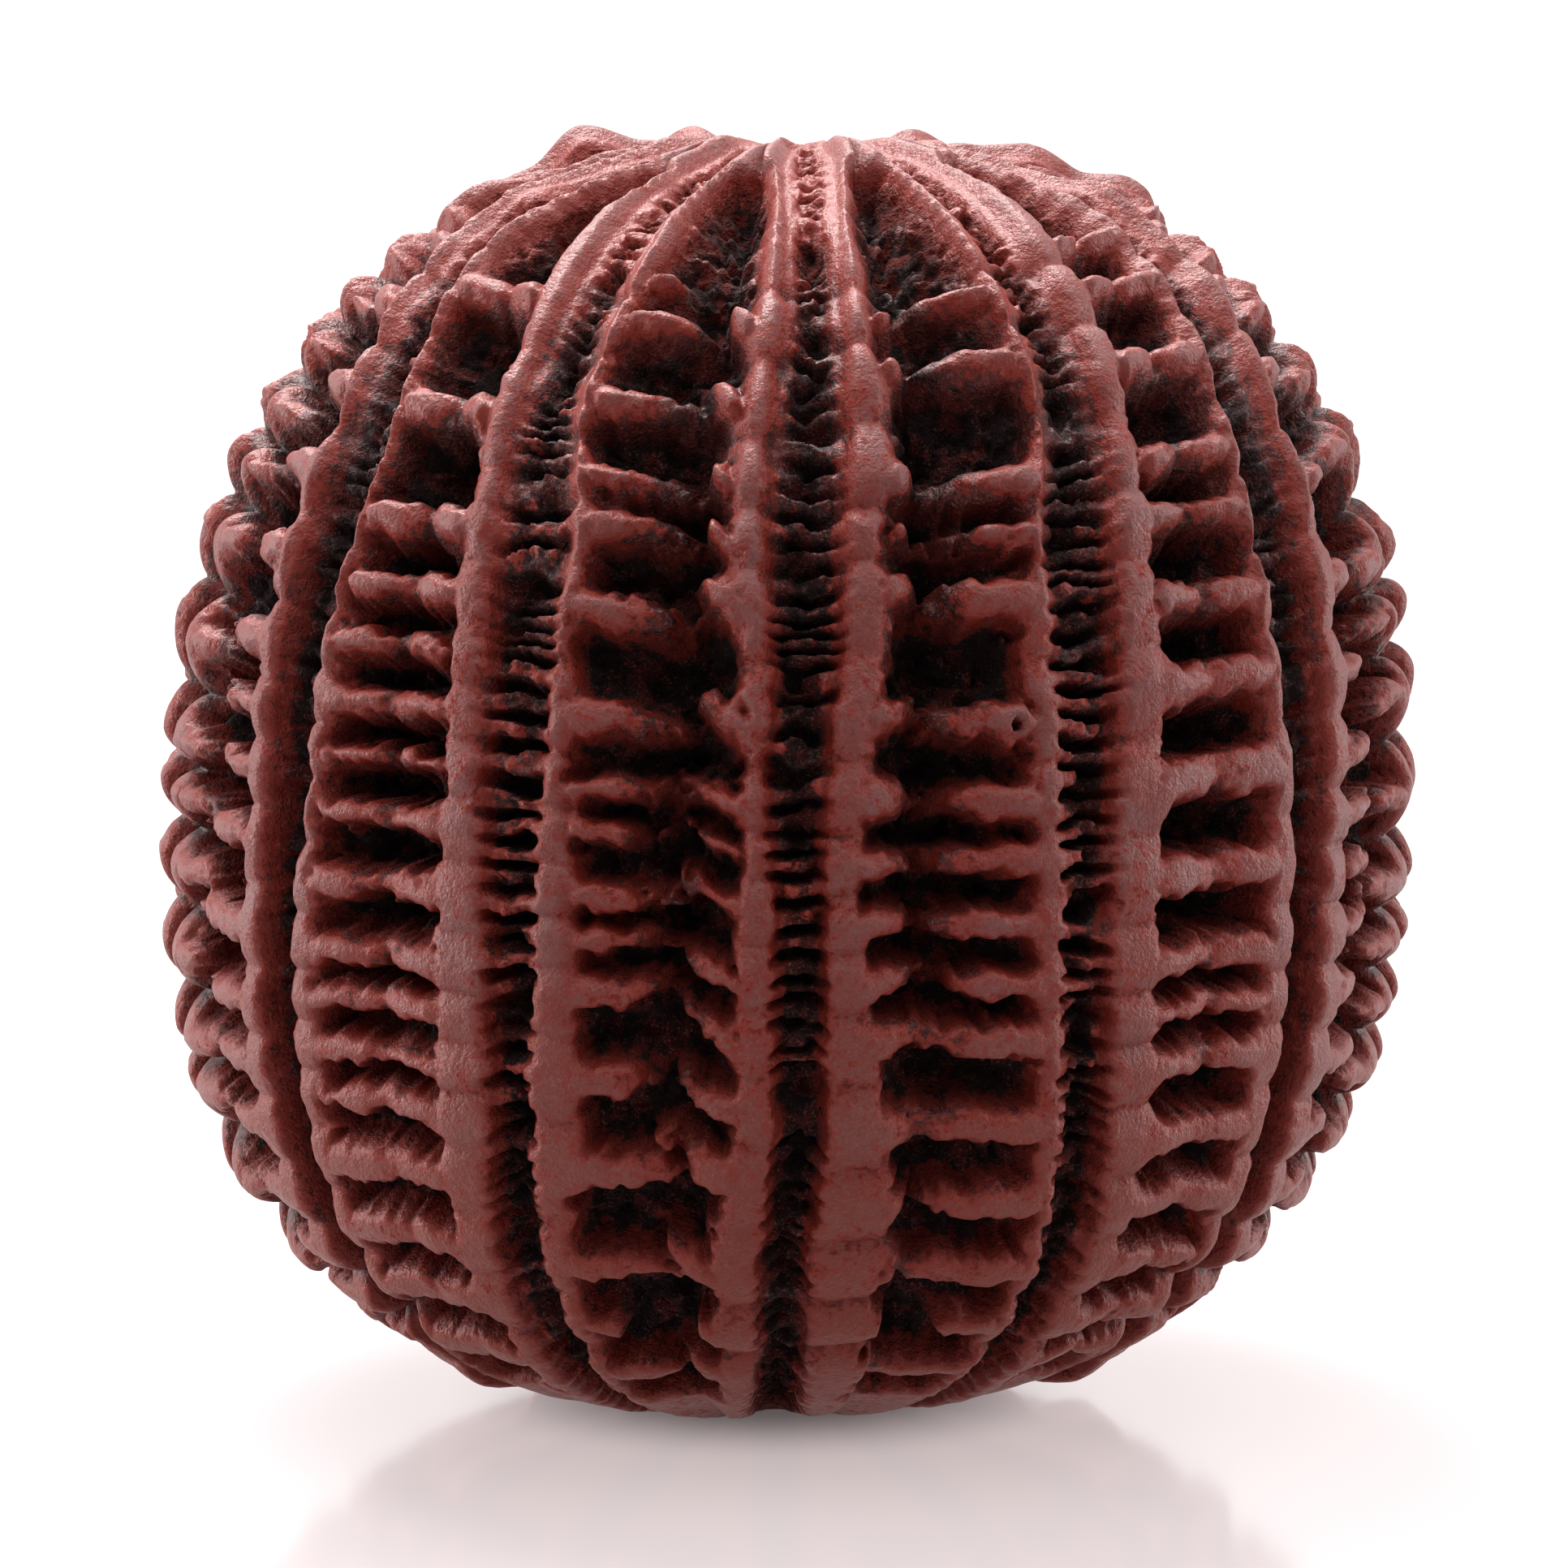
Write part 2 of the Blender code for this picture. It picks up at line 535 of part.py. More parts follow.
def seed_mesh(shell, sectors):
    """One closed mesh: rings joined by triangles, with a fan at each end."""
    points, upper_middle = seed_points(shell, sectors)
    ring_count, around = points.shape[:2]
    lower_middle = shell.place(np.zeros(1), np.zeros(1), np.zeros(1))
    vertices = np.concatenate([points.reshape(-1, 3), lower_middle, [upper_middle]]) * MM
    lower = ring_count * around
    upper = lower + 1
    faces = []
    for column in range(around):
        following = (column + 1) % around
        faces.append((lower, following, column))
        top = (ring_count - 1) * around
        faces.append((upper, top + column, top + following))
        for ring in range(ring_count - 1):
            a = ring * around + column
            b = ring * around + following
            faces += split_quad(vertices, a, b, b + around, a + around)
    mesh = bpy.data.meshes.new("rudraksha_seed")
    mesh.from_pydata(vertices.tolist(), [], faces)
    mesh.update()
    mesh.shade_smooth()
    return mesh


def split_quad(vertices, a, b, c, d):
    """Two triangles, cut along the shorter diagonal."""
    if np.linalg.norm(vertices[a] - vertices[c]) < np.linalg.norm(vertices[b] - vertices[d]):
        return [(a, b, c), (a, c, d)]
    return [(a, b, d), (b, c, d)]


def shell_material():
    """Dry woody stone of the fruit, reddish brown, worn satin on the ridges."""
    material = bpy.data.materials.new("rudraksha_shell")
    material.use_nodes = True
    surface = material.node_tree.nodes["Principled BSDF"]
    surface.inputs["Base Color"].default_value = (0.19, 0.072, 0.066, 1.0)
    surface.inputs["Roughness"].default_value = 0.55
    surface.inputs["Metallic"].default_value = 0.0
    return material


def clear_scene():
    for item in list(bpy.data.objects):
        bpy.data.objects.remove(item, do_unlink=True)


def build():
    clear_scene()
    shell = Shell()
    mesh = seed_mesh(shell, make_sectors())
    mesh.materials.append(shell_material())
    seed = bpy.data.objects.new("rudraksha_seed", mesh)
    bpy.context.scene.collection.objects.link(seed)


build()
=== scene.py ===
# The dressed rudraksha seed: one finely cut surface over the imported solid, on a pale glossy floor.
#
# The surface has the solid's relief, worked out on a much finer grid, with what a solid that coarse can't
# carry: rungs across the groove floors, torn edges, rough pit walls, and slow unevenness on the worn ridges.
# The bars of the lower half are a little thinner than the solid's, and the pits in front reach a little nearer
# the stem end. Millimetres and degrees are used until the mesh is made, in metres. Longitude 0 faces -Y and
# grows towards +X. A height along the shell ("arc") is measured up its outline from the lower pole.

import math
from dataclasses import dataclass

import bpy
import numpy as np
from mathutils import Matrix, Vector


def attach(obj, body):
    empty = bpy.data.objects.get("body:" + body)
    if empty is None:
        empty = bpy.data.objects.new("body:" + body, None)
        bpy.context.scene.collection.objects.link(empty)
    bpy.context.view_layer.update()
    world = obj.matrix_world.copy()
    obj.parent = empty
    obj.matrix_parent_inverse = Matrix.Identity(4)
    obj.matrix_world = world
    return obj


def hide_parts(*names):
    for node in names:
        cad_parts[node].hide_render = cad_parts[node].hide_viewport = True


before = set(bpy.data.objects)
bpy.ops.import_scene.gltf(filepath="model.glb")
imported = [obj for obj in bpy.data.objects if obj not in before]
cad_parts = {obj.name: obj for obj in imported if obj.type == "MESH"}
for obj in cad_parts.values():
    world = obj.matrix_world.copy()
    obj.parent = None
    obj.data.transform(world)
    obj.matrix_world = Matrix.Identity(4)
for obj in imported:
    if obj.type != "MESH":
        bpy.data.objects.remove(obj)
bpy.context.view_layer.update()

MM = 0.001

# Bare shell
SHELL_RADIUS = 11.9
SHELL_HEIGHT = 24.1
BELLY_HEIGHT = 11.25
UPPER_SQUARENESS = 2.40
LOWER_SQUARENESS = 2.57
SIDEWAYS_LEAN = 0.025
FOOT_CUT = 0.06
OUTLINE_STEPS = 4000

# The grooves run to a point set back from the shell's own axis
CROWN_SETBACK = 2.1
CROWN_CLIMB = (25.0, 33.5)

# Shallow hollow round the stem end, as its depth, its reach and its own setback
HOLLOW_DEPTH = 0.45
HOLLOW_REACH = (1.2, 3.4)
HOLLOW_SETBACK = 2.8

# Grooves, as the longitudes of their floors; the five that face forward are set, the rest share the back
FRONT_GROOVES = (-52.5, -25.5, 1.4, 28.6, 56.4)
SECTOR_COUNT = 13
GROOVE_DRIFT = 0.7

# Edges of the ridges at some heights along the shell, as shares of half a sector from its middle at 0 to the
# groove floor at 1: where the pits end and where the groove begins
EDGE_STOPS = (12.0, 14.5, 17.5, 20.7, 23.6, 26.0, 28.0, 30.5, 32.5)
USUAL_INNER = (0.53, 0.53, 0.54, 0.55, 0.52, 0.48, 0.48, 0.47, 0.45)
USUAL_OUTER = (0.86, 0.86, 0.85, 0.81, 0.78, 0.73, 0.75, 0.77, 0.79)
EDGE_SPREAD = 0.03
GROOVE_LEAST = 0.42
GROOVE_LEAST_SHARE = 0.4
RIDGE_LEAST = 0.42

# Notches between the knobs of a ridge: usual depth, depth where worn smooth, limits of what a draw makes of
# it, what is added towards the foot, and the sharpness of the knobs
RIDGE_NOTCH = 0.42
FACING_NOTCH = 0.18
NOTCH_SPREAD = (0.75, 1.2)
FOOT_NOTCH = 0.34
FACING_FOOT_NOTCH = 0.06
FOOT_CLIMB = (8.5, 13.0)
KNOB_SHARPNESS = 0.7

# Bars: half width as a share of their pitch and at least, and where they begin to taper, as a share of the
# way from ridge to furrow and of their own reach. A reach of CROSSING goes past the furrow, and one under
# LEAST_REACH makes no bar. Crests sink towards the furrow, less so on bands that don't face forward.
BAR_COUNT = 17
BAR_HALF_OF_PITCH = 0.25
BAR_HALF_LEAST = 0.22
BAR_TAPER_START = 0.35
BAR_TAPER_LATEST = 0.7
BAR_SLANT = 0.10
CROSSING = 1.15
LEAST_REACH = 0.15
NO_BAR = -2.0
TIP_DROP_POWER = 1.5
SIDEWAYS_TIP_DROP = 0.55

# Bars that the photograph doesn't show: their heights, and how far a draw moves them as a share of the pitch.
# Then, for all bars outside the facing bands, the limits of their reach and the share that crosses the furrow.
BAR_LOWEST = 8.3
BAR_HIGHEST = 31.6
HEIGHT_SPREAD = 0.28
DRAWN_REACH = (0.72, 0.98)
CROSSING_SHARE = 0.65

# Shelves: the bars of the bands next to the facing ones, which stay broad nearly to the furrow
SHELF_HALF_OF_PITCH = 0.24
SHELF_HALF_GREATEST = 0.44
SHELF_TAPER_START = 0.75

# Ends of the bands in front and on the far side, their least half width as a share of half a sector, the
# spread of their furrows, the rounding where bars and ridges join, and the least depth below a crest
BAND_LOWEST = 7.2
BAND_HIGHEST = 36.0
FAR_BAND_HIGHEST = 31.2
LEAST_BAND = 0.05
FURROW_SPREAD = 0.12
FILLET = 0.07
LEAST_DEPTH = 0.1

# What changes up the shell: a value for each of these heights. Pits and grooves break off from the worn
# level with a steep edge, which reaches outside and inside its line and takes a share of the depth; a
# bowl takes the rest.
LEVELS = (10.5, 14.0, 18.0, 24.0, 28.5, 32.0)
PIT_DEPTHS = (1.05, 1.05, 1.15, 1.15, 1.15, 1.05)
FURROW_DEPTHS = (1.25, 1.45, 2.00, 2.00, 1.80, 1.40)
GROOVE_DEPTHS = (0.95, 1.10, 1.15, 1.15, 1.10, 0.95)
GROOVE_ROUGHNESS = (0.6, 0.6, 0.5, 0.2, 0.3, 0.7)
BAR_TIP_DROPS = (0.18, 0.24, 0.40, 0.48, 0.55, 0.45)
BAR_HALF_GREATEST = (0.31, 0.32, 0.31, 0.36, 0.44, 0.44)
SHOULDER_DROPS = (0.07, 0.07, 0.10, 0.20, 0.30, 0.30)
SHOULDER_WIDTHS = (0.22, 0.22, 0.22, 0.30, 0.36, 0.36)
EDGE_OUTSIDES = (0.10, 0.10, 0.10, 0.12, 0.13, 0.14)
EDGE_INSIDES = (0.07, 0.07, 0.07, 0.09, 0.12, 0.13)
EDGE_SHARES = (0.65, 0.65, 0.65, 0.65, 0.62, 0.60)
BOWL_WIDTHS = (0.45, 0.45, 0.45, 0.45, 0.48, 0.50)
GROOVE_SLOPES = (0.2, 0.0, 0.0, 0.2, 0.8, 1.0)

# Knobs where the far faces end at the stem: sector, distance from the point the grooves run to, and rise
FAR_KNOBS = ((9, 4.1, 0.50), (8, 2.4, 0.48), (7, 3.2, 0.25), (6, 3.0, 0.15), (5, 3.2, 0.25), (4, 2.5, 0.45),
             (3, 4.4, 0.28), (3, 6.2, 0.34), (2, 6.4, 0.20), (10, 6.2, 0.20))
FAR_KNOB_REACH = 1.1

# Where the relief fades out towards the poles, as distances from the axis, and the height along the shell
# from which the upper fade holds
UPPER_FADE = (0.8, 3.2)
LOWER_FADE = (1.7, 3.8)
MIDDLE_ARC = BELLY_HEIGHT * 1.7

# Slow unevenness of the whole shell: its height, its length up the shell in millimetres for a radian, and for
# each swell the waves around, the phase and the turn with height
LUMP_HEIGHT = 0.10
LUMP_CLIMB = 6.0
SWELLS = ((2.0, 0.7, 1.0), (3.0, -1.9, -0.6))

# Seed of all draws
SEED = 1913

# Bars seen on the two bands that face forward: height along the shell, and reach as a share of the way
# from ridge to furrow. Keys are the sector, counted from the one right of the front groove, and the side.
LEFT, RIGHT = -1, 1
FACING_BARS = {
    (12, LEFT): ((8.6, CROSSING), (10.2, 0.35), (11.8, CROSSING), (14.0, CROSSING), (15.8, 0.72), (17.4, 0.8),
                 (18.4, 0.75), (19.2, 0.8), (20.4, 0.8), (21.2, 0.85), (22.5, 0.85), (24.5, 1.0),
                 (26.1, 0.9), (27.0, 1.0), (28.6, CROSSING), (30.5, 1.0), (31.6, 0.42)),
    (12, RIGHT): ((8.4, CROSSING), (10.0, 0.5), (11.7, CROSSING), (13.9, CROSSING), (15.2, 0.95), (16.6, 0.9),
                  (17.7, 0.9), (19.1, 0.85), (20.1, 0.8), (20.9, 0.95), (22.5, 0.85), (24.7, 0.85),
                  (25.9, 0.5), (27.0, 0.5), (28.6, CROSSING), (30.4, 0.7), (32.2, 0.1)),
    (0, LEFT): ((8.7, CROSSING), (10.1, 0.4), (11.6, CROSSING), (13.15, CROSSING), (14.8, CROSSING),
                (16.5, CROSSING), (17.6, 0.8), (18.8, 0.75), (19.8, 0.9), (21.0, 0.8), (22.6, CROSSING),
                (24.9, 0.95), (26.0, 0.75), (27.0, 0.95), (29.3, CROSSING), (30.5, 0.6), (32.2, 0.1)),
    (0, RIGHT): ((8.3, CROSSING), (9.9, 0.5), (11.5, CROSSING), (13.1, CROSSING), (14.7, CROSSING),
                 (16.4, CROSSING), (17.5, 0.8), (18.6, 0.85), (19.8, 0.85), (20.9, 0.85),
                 (22.4, CROSSING), (24.7, 0.85), (25.9, 0.8), (26.9, 0.9), (29.4, CROSSING),
                 (31.0, 0.95), (32.4, 0.1)),
}

# Bars seen from the side, on the next bands and on those that make the outline, by height alone
NEXT_LEFT_BARS = (8.8, 10.6, 12.1, 13.6, 14.9, 15.8, 16.8, 17.7, 19.0, 20.3, 21.4, 22.4, 23.5, 24.6,
                  25.9, 28.2, 31.0)
NEXT_RIGHT_BARS = (8.3, 9.6, 11.2, 12.7, 14.1, 15.6, 16.6, 17.6, 19.2, 21.0, 22.8, 24.4, 26.0, 27.1,
                   29.1, 31.0, 32.3)
BEHIND_LEFT_BARS = (8.3, 9.6, 11.0, 12.4, 13.9, 15.2, 16.4, 17.8, 19.5, 20.8, 22.0, 23.2, 24.9,
                    26.6, 28.3, 30.2, 31.8)
BEHIND_RIGHT_BARS = (8.3, 9.5, 10.8, 12.2, 13.6, 15.0, 16.4, 17.6, 18.7, 19.8, 20.9, 22.5, 24.2,
                     26.2, 28.4, 30.4, 32.0)
OUTLINE_LEFT_BARS = (8.4, 10.1, 12.0, 14.0, 15.0, 16.7, 18.4, 19.8, 20.8, 22.8, 24.8, 26.2, 27.4,
                     28.8, 29.9, 31.0, 32.3)
OUTLINE_RIGHT_BARS = (8.9, 10.1, 11.6, 12.9, 14.3, 15.6, 16.8, 18.0, 19.7, 21.7, 23.1, 24.2, 26.5,
                      28.0, 29.6, 30.9, 32.2)
SIDE_BARS = {
    (11, LEFT): NEXT_LEFT_BARS,
    (11, RIGHT): NEXT_LEFT_BARS,
    (1, LEFT): NEXT_RIGHT_BARS,
    (1, RIGHT): NEXT_RIGHT_BARS,
    (10, RIGHT): BEHIND_LEFT_BARS,
    (2, LEFT): BEHIND_RIGHT_BARS,
    (10, LEFT): OUTLINE_LEFT_BARS,
    (9, RIGHT): OUTLINE_LEFT_BARS,
    (2, RIGHT): OUTLINE_RIGHT_BARS,
    (3, LEFT): OUTLINE_RIGHT_BARS,
}

# Depths of the notches between the knobs where they differ, and the ridges whose groove side is toothed
NOTCHES = {(10, LEFT): 0.60, (9, RIGHT): 0.60, (2, RIGHT): 0.60, (3, LEFT): 0.60,
           (10, RIGHT): 0.24, (2, LEFT): 0.24}
TOOTHED_SIDES = ((12, LEFT), (12, RIGHT), (0, LEFT), (0, RIGHT), (11, RIGHT), (1, LEFT))

# Ridge edges that differ from the usual ones: at every stop, or by as much everywhere
FACING_INNER = {
    (12, LEFT): (0.58, 0.53, 0.50, 0.54, 0.60, 0.52, 0.62, 0.54, 0.42),
    (12, RIGHT): (0.45, 0.56, 0.54, 0.60, 0.55, 0.42, 0.40, 0.46, 0.48),
    (0, LEFT): (0.28, 0.42, 0.56, 0.60, 0.46, 0.40, 0.37, 0.45, 0.50),
    (0, RIGHT): (0.70, 0.64, 0.60, 0.56, 0.49, 0.58, 0.66, 0.54, 0.55),
}
FACING_OUTER = {
    (12, LEFT): (0.82, 0.84, 0.86, 0.81, 0.78, 0.71, 0.80, 0.86, 0.84),
    (12, RIGHT): (0.84, 0.92, 0.89, 0.80, 0.79, 0.74, 0.76, 0.80, 0.84),
    (0, LEFT): (0.92, 0.88, 0.88, 0.87, 0.80, 0.78, 0.78, 0.80, 0.85),
    (0, RIGHT): (0.82, 0.82, 0.84, 0.78, 0.75, 0.71, 0.80, 0.86, 0.85),
}
NEXT_SHIFTS = {
    (11, LEFT): (0.03, -0.03),
    (11, RIGHT): (-0.10, 0.0),
    (1, LEFT): (-0.10, 0.03),
    (1, RIGHT): (-0.02, -0.05),
}

# Furrow places, bar slants and groove drift, in degrees at every stop, of what faces forward
FACING_FURROWS = {12: 0.17, 0: -0.22, 11: 0.03, 1: 0.02}
FACING_SLANTS = {(12, RIGHT): 0.55, (12, LEFT): 0.0}
FACING_DRIFTS = {
    12: (-1.2, 0.3, 0.7, 0.0, -0.3, -1.1, -1.4, 0.6, 1.2),
    0: (-0.7, 0.3, 0.0, -0.4, 0.0, -0.3, 0.0, 0.0, 0.0),
    1: (2.5, 1.0, -0.3, -0.3, 0.0, 0.8, 1.2, -0.8, -2.6),
}

# Rungs across the groove floors: pitch, half width and flank, then their rise and the teeth that they leave
# in the ridges at each of the levels
RUNG_PITCH = 0.50
RUNG_HALF = 0.11
RUNG_FLANK = 0.07
RUNG_RISES = (0.20, 0.45, 0.92, 0.95, 0.66, 0.34)
RUNG_TEETH = (0.10, 0.12, 0.15, 0.10, 0.0, 0.0)

# How whole rungs and parts of them waver up and down, as reach and feature size; what a groove adds to the
# place where the noise is read; their height with its spread and feature size; and how high they are by floor
RUNG_SWAY = (0.40, 1.3)
RUNG_WAVER = (0.16, 0.45)
FLOOR_SPACING = 3.7
RUNG_HEIGHT = (0.78, 0.70, 0.50)
FLOOR_RUNG_SHARES = {0: 0.7, 1: 1.0, 12: 1.0}
FAR_RUNG_SHARE = 0.4

# Lip across the front groove, above which it is shallow: height along the shell, flank and share taken off
LIP_FLOOR = 0
LIP_ARC = 33.1
LIP_FLANK = 0.22
LIP_SHARE = 0.32

# The one small round hole in a facing bar: longitude, height along the shell, radius, flank and depth
PINHOLE = (20.6, 22.34, 0.07, 0.07, 0.45)

# Fine mesh: points around and rings, and the number of triangles that are kept
AROUND, RINGS, KEPT_TRIANGLES = ((1440, 640, 930000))

# Irregularities: size of the feature and its height, both in millimetres
EDGE_WAVER = ((0.9, 0.09), (0.40, 0.11), (0.17, 0.09))
PIT_ROUGHNESS = ((0.60, 0.24), (0.26, 0.22), (0.13, 0.10))
WALL_ROUGHNESS = ((0.24, 0.11), (0.12, 0.07))
CREST_UNEVENNESS = ((2.2, 0.07), (0.8, 0.035), (0.3, 0.015))
PIT_CRUMBS = ((0.34, 0.09), (0.17, 0.05))

# Share of the edges' waver at each of the levels and on the edges of the grooves, and how low the crests lie
# so that none passes the shell
WAVER_SHARES = (1.0, 1.0, 1.0, 1.0, 0.75, 0.45)
GROOVE_WAVER_SHARE = 0.5
CREST_LOWERING = 0.12

# Where walls begin to be rough, by their share of the depth, and the dips in which crumbs set in
WALL_STEEPNESS = 3.0
WALL_START = 0.6
CRUMB_START = 0.15
CRUMB_RAMP = 0.4

# Distance of the first and last ring from the poles, and limits of what the finish reads from the surface
POLE_MARGIN = 0.25
LEVEL_LIMITS = (-0.6, 0.6)
DROP_LIMITS = (-0.2, 2.5)
DIP_LIMITS = (0.0, 2.5)


def smooth(value):
    """Ease from 0 to 1 between the values 0 and 1."""
    t = np.clip(value, 0.0, 1.0)
    return t * t * (3.0 - 2.0 * t)


def mixed(low, high, share):
    return low + (high - low) * share


def at_height(values, arc):
    """A value that changes up the shell."""
    return np.interp(arc, LEVELS, values)


def part_of_way(value, limits):
    """How far a value is from the first limit towards the second."""
    return (value - limits[0]) / (limits[1] - limits[0])


class Noise:
    """Smooth random values in space, from a block of drawn numbers that repeats."""
    BLOCK = 64

    def __init__(self, seed):
        self.values = np.random.default_rng(seed).uniform(-1.0, 1.0, (self.BLOCK,) * 3)

    def at(self, points, size):
        scaled = points / size
        corner = np.floor(scaled).astype(int)
        part = smooth(scaled - corner)
        total = np.zeros(len(points))
        for dx in (0, 1):
            for dy in (0, 1):
                for dz in (0, 1):
                    picked = self.values[(corner[:, 0] + dx) % self.BLOCK,
                                         (corner[:, 1] + dy) % self.BLOCK,
                                         (corner[:, 2] + dz) % self.BLOCK]
                    share_x = part[:, 0] if dx else 1.0 - part[:, 0]
                    share_y = part[:, 1] if dy else 1.0 - part[:, 1]
                    share_z = part[:, 2] if dz else 1.0 - part[:, 2]
                    total += picked * share_x * share_y * share_z
        return total

    def layers(self, points, sizes_and_heights):
        return sum(height * self.at(points, size) for size, height in sizes_and_heights)


@dataclass
class Side:
    """One ridge with the bars that leave it."""
    heights: np.ndarray
    reach: np.ndarray
    half: np.ndarray
    slant: float
    inner: np.ndarray
    outer: np.ndarray
    notch: float
    taper_start: float
    toothed: bool


@dataclass
class Sector:
    """The stretch from one groove floor to the next. Drift moves its first groove along the shell."""
    start: float
    drift: np.ndarray
    furrow: float
    band_top: float
    tip_drop: float
    knobs: list
    sides: dict


class Shell:
    """The bare egg: its outline as polar angle, distance and arc length from the lower pole."""

    def __init__(self):
        self.angle = np.linspace(-math.pi / 2, math.pi / 2, OUTLINE_STEPS + 1)
        self.distance = self.reach_at(self.angle)
        across = self.distance * np.cos(self.angle)
        along = self.distance * np.sin(self.angle)
        steps = np.hypot(np.diff(across), np.diff(along))
        self.arc = np.concatenate([[0.0], np.cumsum(steps)])

    def reach_at(self, angle):
        """Distance from the belly centre to the shell, at an angle above the belly."""
        upper = angle > 0
        power = np.where(upper, UPPER_SQUARENESS, LOWER_SQUARENESS)
        tall = np.where(upper, SHELL_HEIGHT - BELLY_HEIGHT, BELLY_HEIGHT)
        flat_part = np.abs(np.cos(angle) / SHELL_RADIUS) ** power
        tall_part = np.abs(np.sin(angle) / tall) ** power
        return (flat_part + tall_part) ** (-1.0 / power)

    def angle_at(self, arc):
        return np.interp(arc, self.arc, self.angle)

    def radius_at(self, arc):
        angle = self.angle_at(arc)
        return self.reach_at(angle) * np.cos(angle)

    def grown(self, longitude, arc):
        """Longitude and distance from the axis as the grooves run, to their own point near the top."""
        radius = self.radius_at(arc)
        setback = CROWN_SETBACK * smooth(part_of_way(arc, CROWN_CLIMB))
        turn = np.radians(longitude)
        side = radius * np.sin(turn)
        front = radius * np.cos(turn) + setback
        return np.degrees(np.arctan2(side, front)), np.hypot(side, front)

    def place(self, longitude, arc, raised):
        """Points at a height above the shell, with the lean and the flat foot."""
        angle = self.angle_at(arc)
        distance = self.reach_at(angle) + raised
        turn = np.radians(longitude)
        out = distance * np.cos(angle)
        up = BELLY_HEIGHT + distance * np.sin(angle)
        up = np.maximum(up, FOOT_CUT) - FOOT_CUT
        x = out * np.sin(turn) + SIDEWAYS_LEAN * up
        y = -out * np.cos(turn)
        return np.stack([x, y, up], axis=-1)

    def locate(self, points):
        """Longitude and height along the shell of points made by place."""
        x = points[:, 0] - SIDEWAYS_LEAN * points[:, 2]
        y = points[:, 1]
        up = points[:, 2] + FOOT_CUT - BELLY_HEIGHT
        angle = np.arctan2(up, np.hypot(x, y))
        longitude = np.degrees(np.arctan2(x, -y))
        return longitude, np.interp(angle, self.angle, self.arc)


def drawn_heights(draw):
    """Bar heights for a side that the front doesn't show: an even row, unsettled by a draw."""
    even = np.linspace(BAR_LOWEST, BAR_HIGHEST, BAR_COUNT)
    pitch = even[1] - even[0]
    return even + draw.uniform(-HEIGHT_SPREAD, HEIGHT_SPREAD, BAR_COUNT) * pitch


def make_side(key, draw):
    """Bars and edges of one side of a sector."""
    if key in FACING_BARS:
        heights = np.array([height for height, reach in FACING_BARS[key]])
        reach = np.array([reach for height, reach in FACING_BARS[key]])
    else:
        heights = np.array(SIDE_BARS[key]) if key in SIDE_BARS else drawn_heights(draw)
        reach = draw.uniform(*DRAWN_REACH, len(heights))
        reach[draw.random(len(heights)) < CROSSING_SHARE] = CROSSING
    shelves = key in NEXT_SHIFTS
    if shelves:
        reach = np.full(len(heights), CROSSING)
    greatest = SHELF_HALF_GREATEST if shelves else at_height(BAR_HALF_GREATEST, heights)
    of_pitch = SHELF_HALF_OF_PITCH if shelves else BAR_HALF_OF_PITCH
    half = np.clip(of_pitch * np.gradient(heights), BAR_HALF_LEAST, greatest)
    slant = FACING_SLANTS.get(key, BAR_SLANT)
    inner_shift, outer_shift = NEXT_SHIFTS.get(key, draw.uniform(-EDGE_SPREAD, EDGE_SPREAD, 2))
    inner = np.array(FACING_INNER.get(key, np.array(USUAL_INNER) + inner_shift))
    outer = np.array(FACING_OUTER.get(key, np.array(USUAL_OUTER) + outer_shift))
    worn_smooth = key in FACING_INNER or key in NEXT_SHIFTS
    usual_notch = NOTCHES.get(key, RIDGE_NOTCH)
    notch = draw.uniform(*NOTCH_SPREAD) * (FACING_NOTCH if worn_smooth else usual_notch)
    taper_start = SHELF_TAPER_START if shelves else BAR_TAPER_START
    return Side(heights, reach, half, slant, inner, outer, notch, taper_start, key in TOOTHED_SIDES)


def make_sectors():
    """All sectors, counted from the one right of the front groove, going towards +X."""
    draw = np.random.default_rng(SEED)
    front = list(FRONT_GROOVES)
    back_count = SECTOR_COUNT - len(front) + 1
    back = np.linspace(front[-1], front[0] + 360.0, back_count + 1)[1:-1]
    floors = front[2:] + list(back) + [front[0] + 360.0, front[1] + 360.0]
    sectors = []
    for number in range(SECTOR_COUNT):
        furrow = FACING_FURROWS.get(number, draw.uniform(-FURROW_SPREAD, FURROW_SPREAD))
        drawn_drift = draw.uniform(-GROOVE_DRIFT, GROOVE_DRIFT, len(EDGE_STOPS))
        drift = np.array(FACING_DRIFTS.get(number, drawn_drift))
        sides = {side: make_side((number, side), draw) for side in (LEFT, RIGHT)}
        facing = math.cos(math.radians(floors[number] + 180.0 / SECTOR_COUNT))
        ends = [(distance, rise) for index, distance, rise in FAR_KNOBS if index == number]
        band_top = FAR_BAND_HIGHEST if facing < 0.0 else BAND_HIGHEST
        tip_drop = 1.0 if (number, LEFT) in FACING_BARS else SIDEWAYS_TIP_DROP
        sectors.append(Sector(floors[number], drift, furrow, band_top, tip_drop, ends, sides))
    return sectors


def groove_line(sector, arc):
    """Longitude of a sector's first groove floor at a height along the shell."""
    return sector.start + np.interp(arc, EDGE_STOPS, sector.drift)


